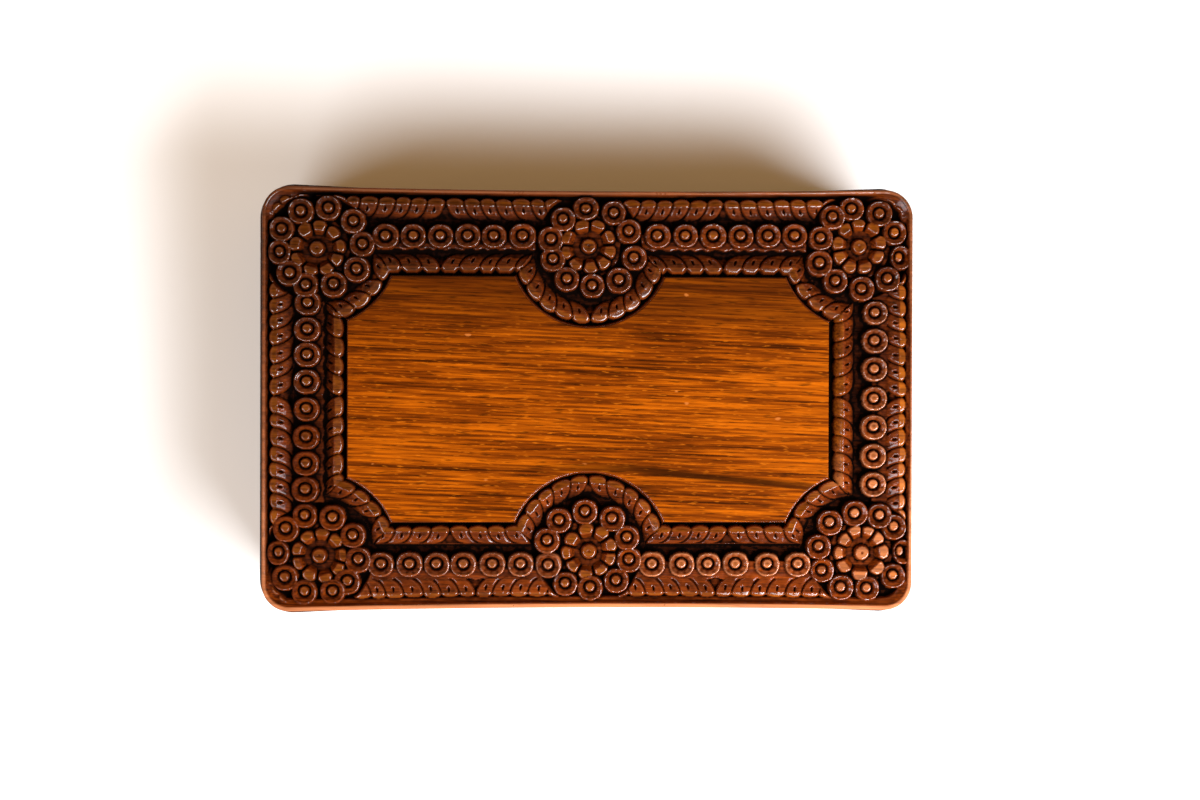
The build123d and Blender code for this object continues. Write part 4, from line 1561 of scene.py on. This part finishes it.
@dataclass
class CarvedWall:
    """A wall of the case with a sunk band of rings between two bands of leaves."""

    name: str
    node: str
    hand: int  # 0 for the front, -1 and 1 for the ends
    outline: Outline = Outline(129.2, 84.95, 3.4, 13.2)
    base: float = 8.0
    top: float = 46.0
    depth: float = 2.0
    inner_end: float = 117.7
    inner_face: float = 70.05
    field_half: float = 108.7
    field_low: float = 13.0
    field_high: float = 41.0
    ring_pitch: float = 10.8
    ring_inset: float = 6.4
    joint: float = 0.3  # the fine line where the walls meet
    hinge_line: float = 78.35
    stop_slope: float = math.tan(math.radians(50))
    edge: float = 0.7
    cut: LeafCut = LeafCut(6.6, 7.2, 6.2, 2.6, scallop=1.1, eye=4.4)
    margin: Section = ((-0.25, 0.0, 0.5, 0.9), (0.0, -0.3, -3.2, -4.2))  # the field's side
    nail_levels: Pair = (18.0, 36.0)
    nail_y: float = 75.8
    pit: Pair = (1.8, -1.3)  # radius and level of the pit over a nail
    seed: int = 23

    def columns(self) -> tuple[Array, Array, Array, Array]:
        """The wall's face in plan.

        Returns:
            The distance along it from its middle, and rows of its points, of its outward directions and of
            the points behind it on the inner face.
        """
        if self.hand == 0:
            x = np.linspace(-self.inner_end, self.inner_end, round(2 * self.inner_end / WALL_CELL) + 1)
            outer = np.stack([x, -self.outline.edge(x)], -1)
            out = np.tile([0.0, -1.0], (len(x), 1))
            inner = np.stack([x, np.full(len(x), -self.inner_face)], -1)
            return x, outer, out, inner
        radius = self.outline.radius
        corner_x = self.outline.length - radius
        corner_y = float(self.outline.edge(corner_x)) - radius
        start = math.asin((self.inner_end + self.joint - corner_x) / radius)
        turn = np.linspace(start, math.pi / 2, round(radius * (math.pi / 2 - start) / WALL_CELL) + 1)[:-1]
        straight = np.linspace(-corner_y, corner_y, round(2 * corner_y / WALL_CELL) + 1)
        out_x = np.concatenate([np.sin(turn), np.ones(len(straight)), np.sin(turn[::-1])])
        out_y = np.concatenate([-np.cos(turn), np.zeros(len(straight)), np.cos(turn[::-1])])
        middle_y = np.concatenate([np.full(len(turn), -corner_y), straight, np.full(len(turn), corner_y)])
        outer = np.stack([corner_x + radius * out_x, middle_y + radius * out_y], -1)
        length = np.concatenate([[0], np.cumsum(np.hypot(*np.diff(outer, axis=0).T))])
        inner = np.stack([np.full(len(outer), self.inner_end), outer[:, 1]], -1)
        flip = np.array([self.hand, 1.0])
        out = np.stack([out_x, out_y], -1)
        return length - length[-1] / 2, outer * flip, out * flip, inner * flip

    def carve(self, relief: Relief, outer: Array) -> None:
        """Cuts the wall's face.

        Args:
            relief: A grid of distances along the wall and levels.
            outer: The face in plan, for the nails' places.
        """
        s, z = relief.x, relief.y
        middle = (self.field_low + self.field_high) / 2
        for edge, way in ((self.field_low, 1), (self.field_high, -1)):
            across = (z - edge) * way - 0.9
            place = between(across, -1.2, 8.6) & (np.abs(s) < self.field_half)
            relief.leaves(place, s[place], across[place], 0.0, self.cut)
        ends = self.field_half - self.ring_inset
        count = max(1, round(2 * ends / self.ring_pitch))
        for along in np.linspace(-ends, ends, count + 1):
            shift, size = relief.rng.uniform(-0.15, 0.15), relief.rng.uniform(0.96, 1.02)
            relief.ring((along + shift, middle), size)
        relief.roughen()
        half_height = (self.field_high - self.field_low) / 2
        gap = np.minimum(self.field_half - np.abs(s), half_height - np.abs(z - middle))
        margin = polyline(gap, *self.margin)
        relief.keep_higher(np.ones(s.shape, bool), margin.ravel(), np.zeros(s.size))
        lip = np.minimum(z - self.base, self.top - z)
        relief.height = relief.height - polyline(lip, (0.0, 0.2, self.edge), (0.5, 0.22, 0.0))
        nails = [(side * self.nail_y, level) for level in self.nail_levels for side in (-1, 1)]
        for nail_y, level in nails if self.hand else []:
            pit = np.hypot(outer[:, 1][None, :] - nail_y, z - level) < self.pit[0]
            relief.height = np.where(pit, np.minimum(relief.height, self.pit[1]), relief.height)

    def build(self, material: bpy.types.Material) -> bpy.types.Object:
        """Makes the wall as a closed piece.

        Args:
            material: The carving's finish.

        Returns:
            The piece.
        """
        along, outer, out, inner = self.columns()
        levels = np.linspace(self.base, self.top, round((self.top - self.base) / WALL_CELL) + 1)
        s, z = np.meshgrid(along, levels)
        relief = Relief(s, z, self.depth, np.random.default_rng(self.seed + self.hand))
        self.carve(relief, outer)
        marks = relief.marks(WALL_CELL)
        crown = self.top - np.maximum(outer[:, 1] - self.hinge_line, 0) * self.stop_slope
        share = (levels - self.base) / (self.top - self.base)
        rows = []
        for index in range(len(levels)):
            xy = outer + out * relief.height[index][:, None]
            rows.append(np.column_stack([xy, self.base + share[index] * (crown - self.base)]))
        rows += [np.column_stack([inner, crown]), np.column_stack([inner, np.full(len(inner), self.base)])]
        number = np.arange(len(rows) * len(along)).reshape(len(rows), -1)
        around = grid_faces(np.vstack([number, number[:1]]))
        faces = [around, number[::-1, 0][None, :], number[:, -1][None, :]]
        if self.hand < 0:
            faces = [group[:, ::-1] for group in faces]
        behind = np.zeros(2 * len(along))
        values = {mark: np.concatenate([grid.ravel(), behind]) for mark, grid in marks.items()}
        piece = mesh_piece(self.name, np.concatenate(rows), faces, values, (False, True, True))
        dress(piece, material, "case")
        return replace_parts(piece, self.node)


@dataclass
class Lining:
    """The felt on the floor or the felt under the lid."""

    name: str
    node: str  # the CAD node that it stands for
    body: str
    held: str
    rests_on: str
    wave: float = 0.08
    step: float = 3.0

    def build(self, material: bpy.types.Material) -> bpy.types.Object:
        """Makes the felt as a thin closed sheet.

        Args:
            material: The felt.

        Returns:
            The piece.
        """
        low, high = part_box(self.node)
        (x0, y0, z0), (x1, y1, z1) = (tuple(value / MM for value in corner) for corner in (low, high))
        xs = np.linspace(x0, x1, round((x1 - x0) / self.step) + 1)
        ys = np.linspace(y0, y1, round((y1 - y0) / self.step) + 1)
        x, y = np.meshgrid(xs, ys)
        soft = np.minimum(np.minimum(x - x0, x1 - x), np.minimum(y - y0, y1 - y))
        ripple = np.sin(x / 9.0 + 0.6 * np.sin(y / 13.0)) * np.cos(y / 11.0)
        swell = self.wave * (ripple - 1) - 0.35 * np.exp(-soft / 0.8)
        shown_up = self.held == "laid"
        top = z1 + (swell if shown_up else 0 * swell)
        foot = z0 - (0 * swell if shown_up else swell)
        points = np.concatenate([np.stack([x, y, level], -1).reshape(-1, 3) for level in (top, foot)])
        number = np.arange(x.size).reshape(x.shape)
        quads = grid_faces(number)
        ring = np.concatenate([number[0, :-1], number[:-1, -1], number[-1, :0:-1], number[:0:-1, 0]])
        faces = [quads, quads[:, ::-1] + x.size, band_faces(ring, ring + x.size)]
        piece = mesh_piece(self.name, points, faces, None, (False, False, True))
        dress(piece, material, self.body)
        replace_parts(piece, self.node)
        return piece


@dataclass(frozen=True)
class Fittings:
    """The parts whose CAD shapes are right: they only get their finishes."""

    boards: tuple[str, ...] = ("base_board", "back_wall")
    long_rails: tuple[str, ...] = ("front_rail", "back_rail")
    side_rails: tuple[str, ...] = ("left_rail", "right_rail")
    long_liners: tuple[str, ...] = ("front_liner", "back_liner")
    side_liners: tuple[str, ...] = ("left_liner", "right_liner")
    steels: tuple[str, ...] = ("wall_nails", "base_screws", "rail_nails", "board_screws")
    hinge_parts: tuple[str, ...] = ("wall_leaf", "pin", "wall_screws", "lid_leaf", "lid_screws")

    def brasses(self) -> tuple[str, ...]:
        """The hinges' parts of both hands."""
        return tuple(f"{hand}_hinge_{part}" for hand in ("left", "right") for part in self.hinge_parts)

    def dress(self, names: Sequence[str], material: bpy.types.Material) -> None:
        """Gives CAD nodes their finish.

        Args:
            names: The nodes.
            material: Their finish.
        """
        for name in names:
            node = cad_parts[name]
            if not node.material_slots:
                node.data.materials.append(material)
            for slot in node.material_slots:
                slot.material = material
            LOG.info("%s: %s", name, material.name)


@dataclass(frozen=True)
class SoftLight:
    """A soft light, a metre from the box, that is level from side to side."""

    name: str
    azimuth: float  # where it stands, in degrees anticlockwise from +X
    elevation: float
    power: float  # in watts
    size: Pair
    colour: Triple
    target: Triple  # the point that gets most of it
    spread: float  # how wide its beam is, in degrees

    def add(self) -> None:
        """Stands the light in the scene."""
        data = bpy.data.lights.new(self.name, "AREA")
        data.shape = "RECTANGLE"
        data.spread, data.energy, data.color = math.radians(self.spread), self.power, self.colour
        data.size, data.size_y = (part * MM for part in self.size)
        turn, rise = math.radians(self.azimuth), math.radians(self.elevation)
        out = math.cos(rise)
        place = Vector((math.cos(turn) * out, math.sin(turn) * out, math.sin(rise) + 0.06))
        back = (place - Vector(self.target) * MM).normalized()
        right = Vector((0, 0, 1)).cross(back).normalized()
        stand(bpy.data.objects.new(self.name, data), place, (right, back.cross(right), back))


def stand(thing: bpy.types.Object, place: Vector, axes: Sequence[Vector]) -> None:
    """Links a light or a camera and puts it in place, with its own X, Y and Z along the axes."""
    bpy.context.scene.collection.objects.link(thing)
    thing.matrix_world = Matrix.Translation(place) @ Matrix(axes).transposed().to_4x4()


@dataclass
class Studio:
    """The pale floor, the lights and the camera over the lid."""

    sky: float = 0.43
    sky_colour: Triple = (1.0, 0.60, 0.26)
    side: float = 6000.0  # half the floor's width
    lights: tuple[SoftLight, ...] = (
        SoftLight("key", -40.0, 49.0, 6.8, (690.0, 320.0), (0.88, 0.92, 1.0), (120.0, -90.0, 60.0), 100.0),
        SoftLight("side light", -142.0, 45.0, 7.0, (620.0, 320.0), (0.86, 0.92, 1.0), (0.0, 0.0, 60.0),
                  180.0),
    )

    def build(self) -> None:
        """Sets the studio up."""
        side = self.side
        corners = np.array([(-side, -side, 0.0), (side, -side, 0.0), (side, side, 0.0), (-side, side, 0.0)])
        floor = mesh_piece("floor", corners, [np.arange(4)], None, (True,))
        floor.data.materials.append(FloorFinish().make())
        world = bpy.data.worlds.new("soft room")
        world.use_nodes = True
        backdrop = world.node_tree.nodes["Background"]
        backdrop.inputs["Color"].default_value = (*self.sky_colour, 1.0)
        backdrop.inputs["Strength"].default_value = self.sky
        scene = bpy.context.scene
        scene.world = world
        scene.view_settings.view_transform = "Standard"
        for light in self.lights:
            light.add()
        camera = bpy.data.objects.new("camera", bpy.data.cameras.new("camera"))
        camera.data.lens, camera.data.sensor_width = VIEW.lens, VIEW.film
        stand(camera, Vector(VIEW.place) * MM, VIEW.axes())
        scene.camera = camera


def main() -> None:
    """Builds the pieces in order."""
    logging.basicConfig(level=logging.INFO, format="%(name)s %(message)s")
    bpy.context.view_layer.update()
    Studio().build()
    along_x, along_y = Grain(Along.X), Grain(Along.Y)
    carved = CarvedFinish("carved wood", along_x).make()
    carved_side = CarvedFinish("carved end wood", along_y).make()
    panel = PanelFinish("polished panel", along_x).make()
    stained = ((36, 12, 3), (98, 42, 10))
    pale = ((116, 72, 38), (166, 112, 66))
    dark = ((24, 8, 3), (72, 30, 9))
    boards = BoardFinish("stained board", along_x, *stained, 0.4, 0.25).make()
    rails = BoardFinish("dark rail", along_x, *dark, 0.42, 0.16).make()
    side_rails = BoardFinish("dark end rail", along_y, *dark, 0.42, 0.16).make()
    liners = BoardFinish("liner board", along_x, *pale, 0.5, 0.15).make()
    side_liners = BoardFinish("liner end board", along_y, *pale, 0.5, 0.15).make()
    brass = MetalFinish("aged brass", (214, 176, 104), (142, 104, 56), 0.3).make()
    steel = MetalFinish("dull steel", (150, 148, 144), (92, 86, 80), 0.42).make()
    felt = FeltFinish("red felt").make()
    lid = CarvedLid()
    lid.build_border(carved)
    lid.build_panel(panel)
    CarvedWall("carved_front_wall", "front_wall", 0).build(carved)
    CarvedWall("carved_left_wall", "left_wall", -1, field_half=62.75).build(carved_side)
    CarvedWall("carved_right_wall", "right_wall", 1, field_half=62.75).build(carved_side)
    Lining("floor_lining", "floor_felt", "case", "laid", "base_board").build(felt)
    Lining("lid_lining", "lid_felt", "lid", "stretched", "lid_board").build(felt)
    fittings = Fittings()
    fittings.dress(fittings.boards, boards)
    fittings.dress(fittings.long_rails, rails)
    fittings.dress(fittings.side_rails, side_rails)
    fittings.dress(fittings.long_liners, liners)
    fittings.dress(fittings.side_liners, side_liners)
    fittings.dress(fittings.steels, steel)
    fittings.dress(fittings.brasses(), brass)


if __name__ == "__main__":
    main()
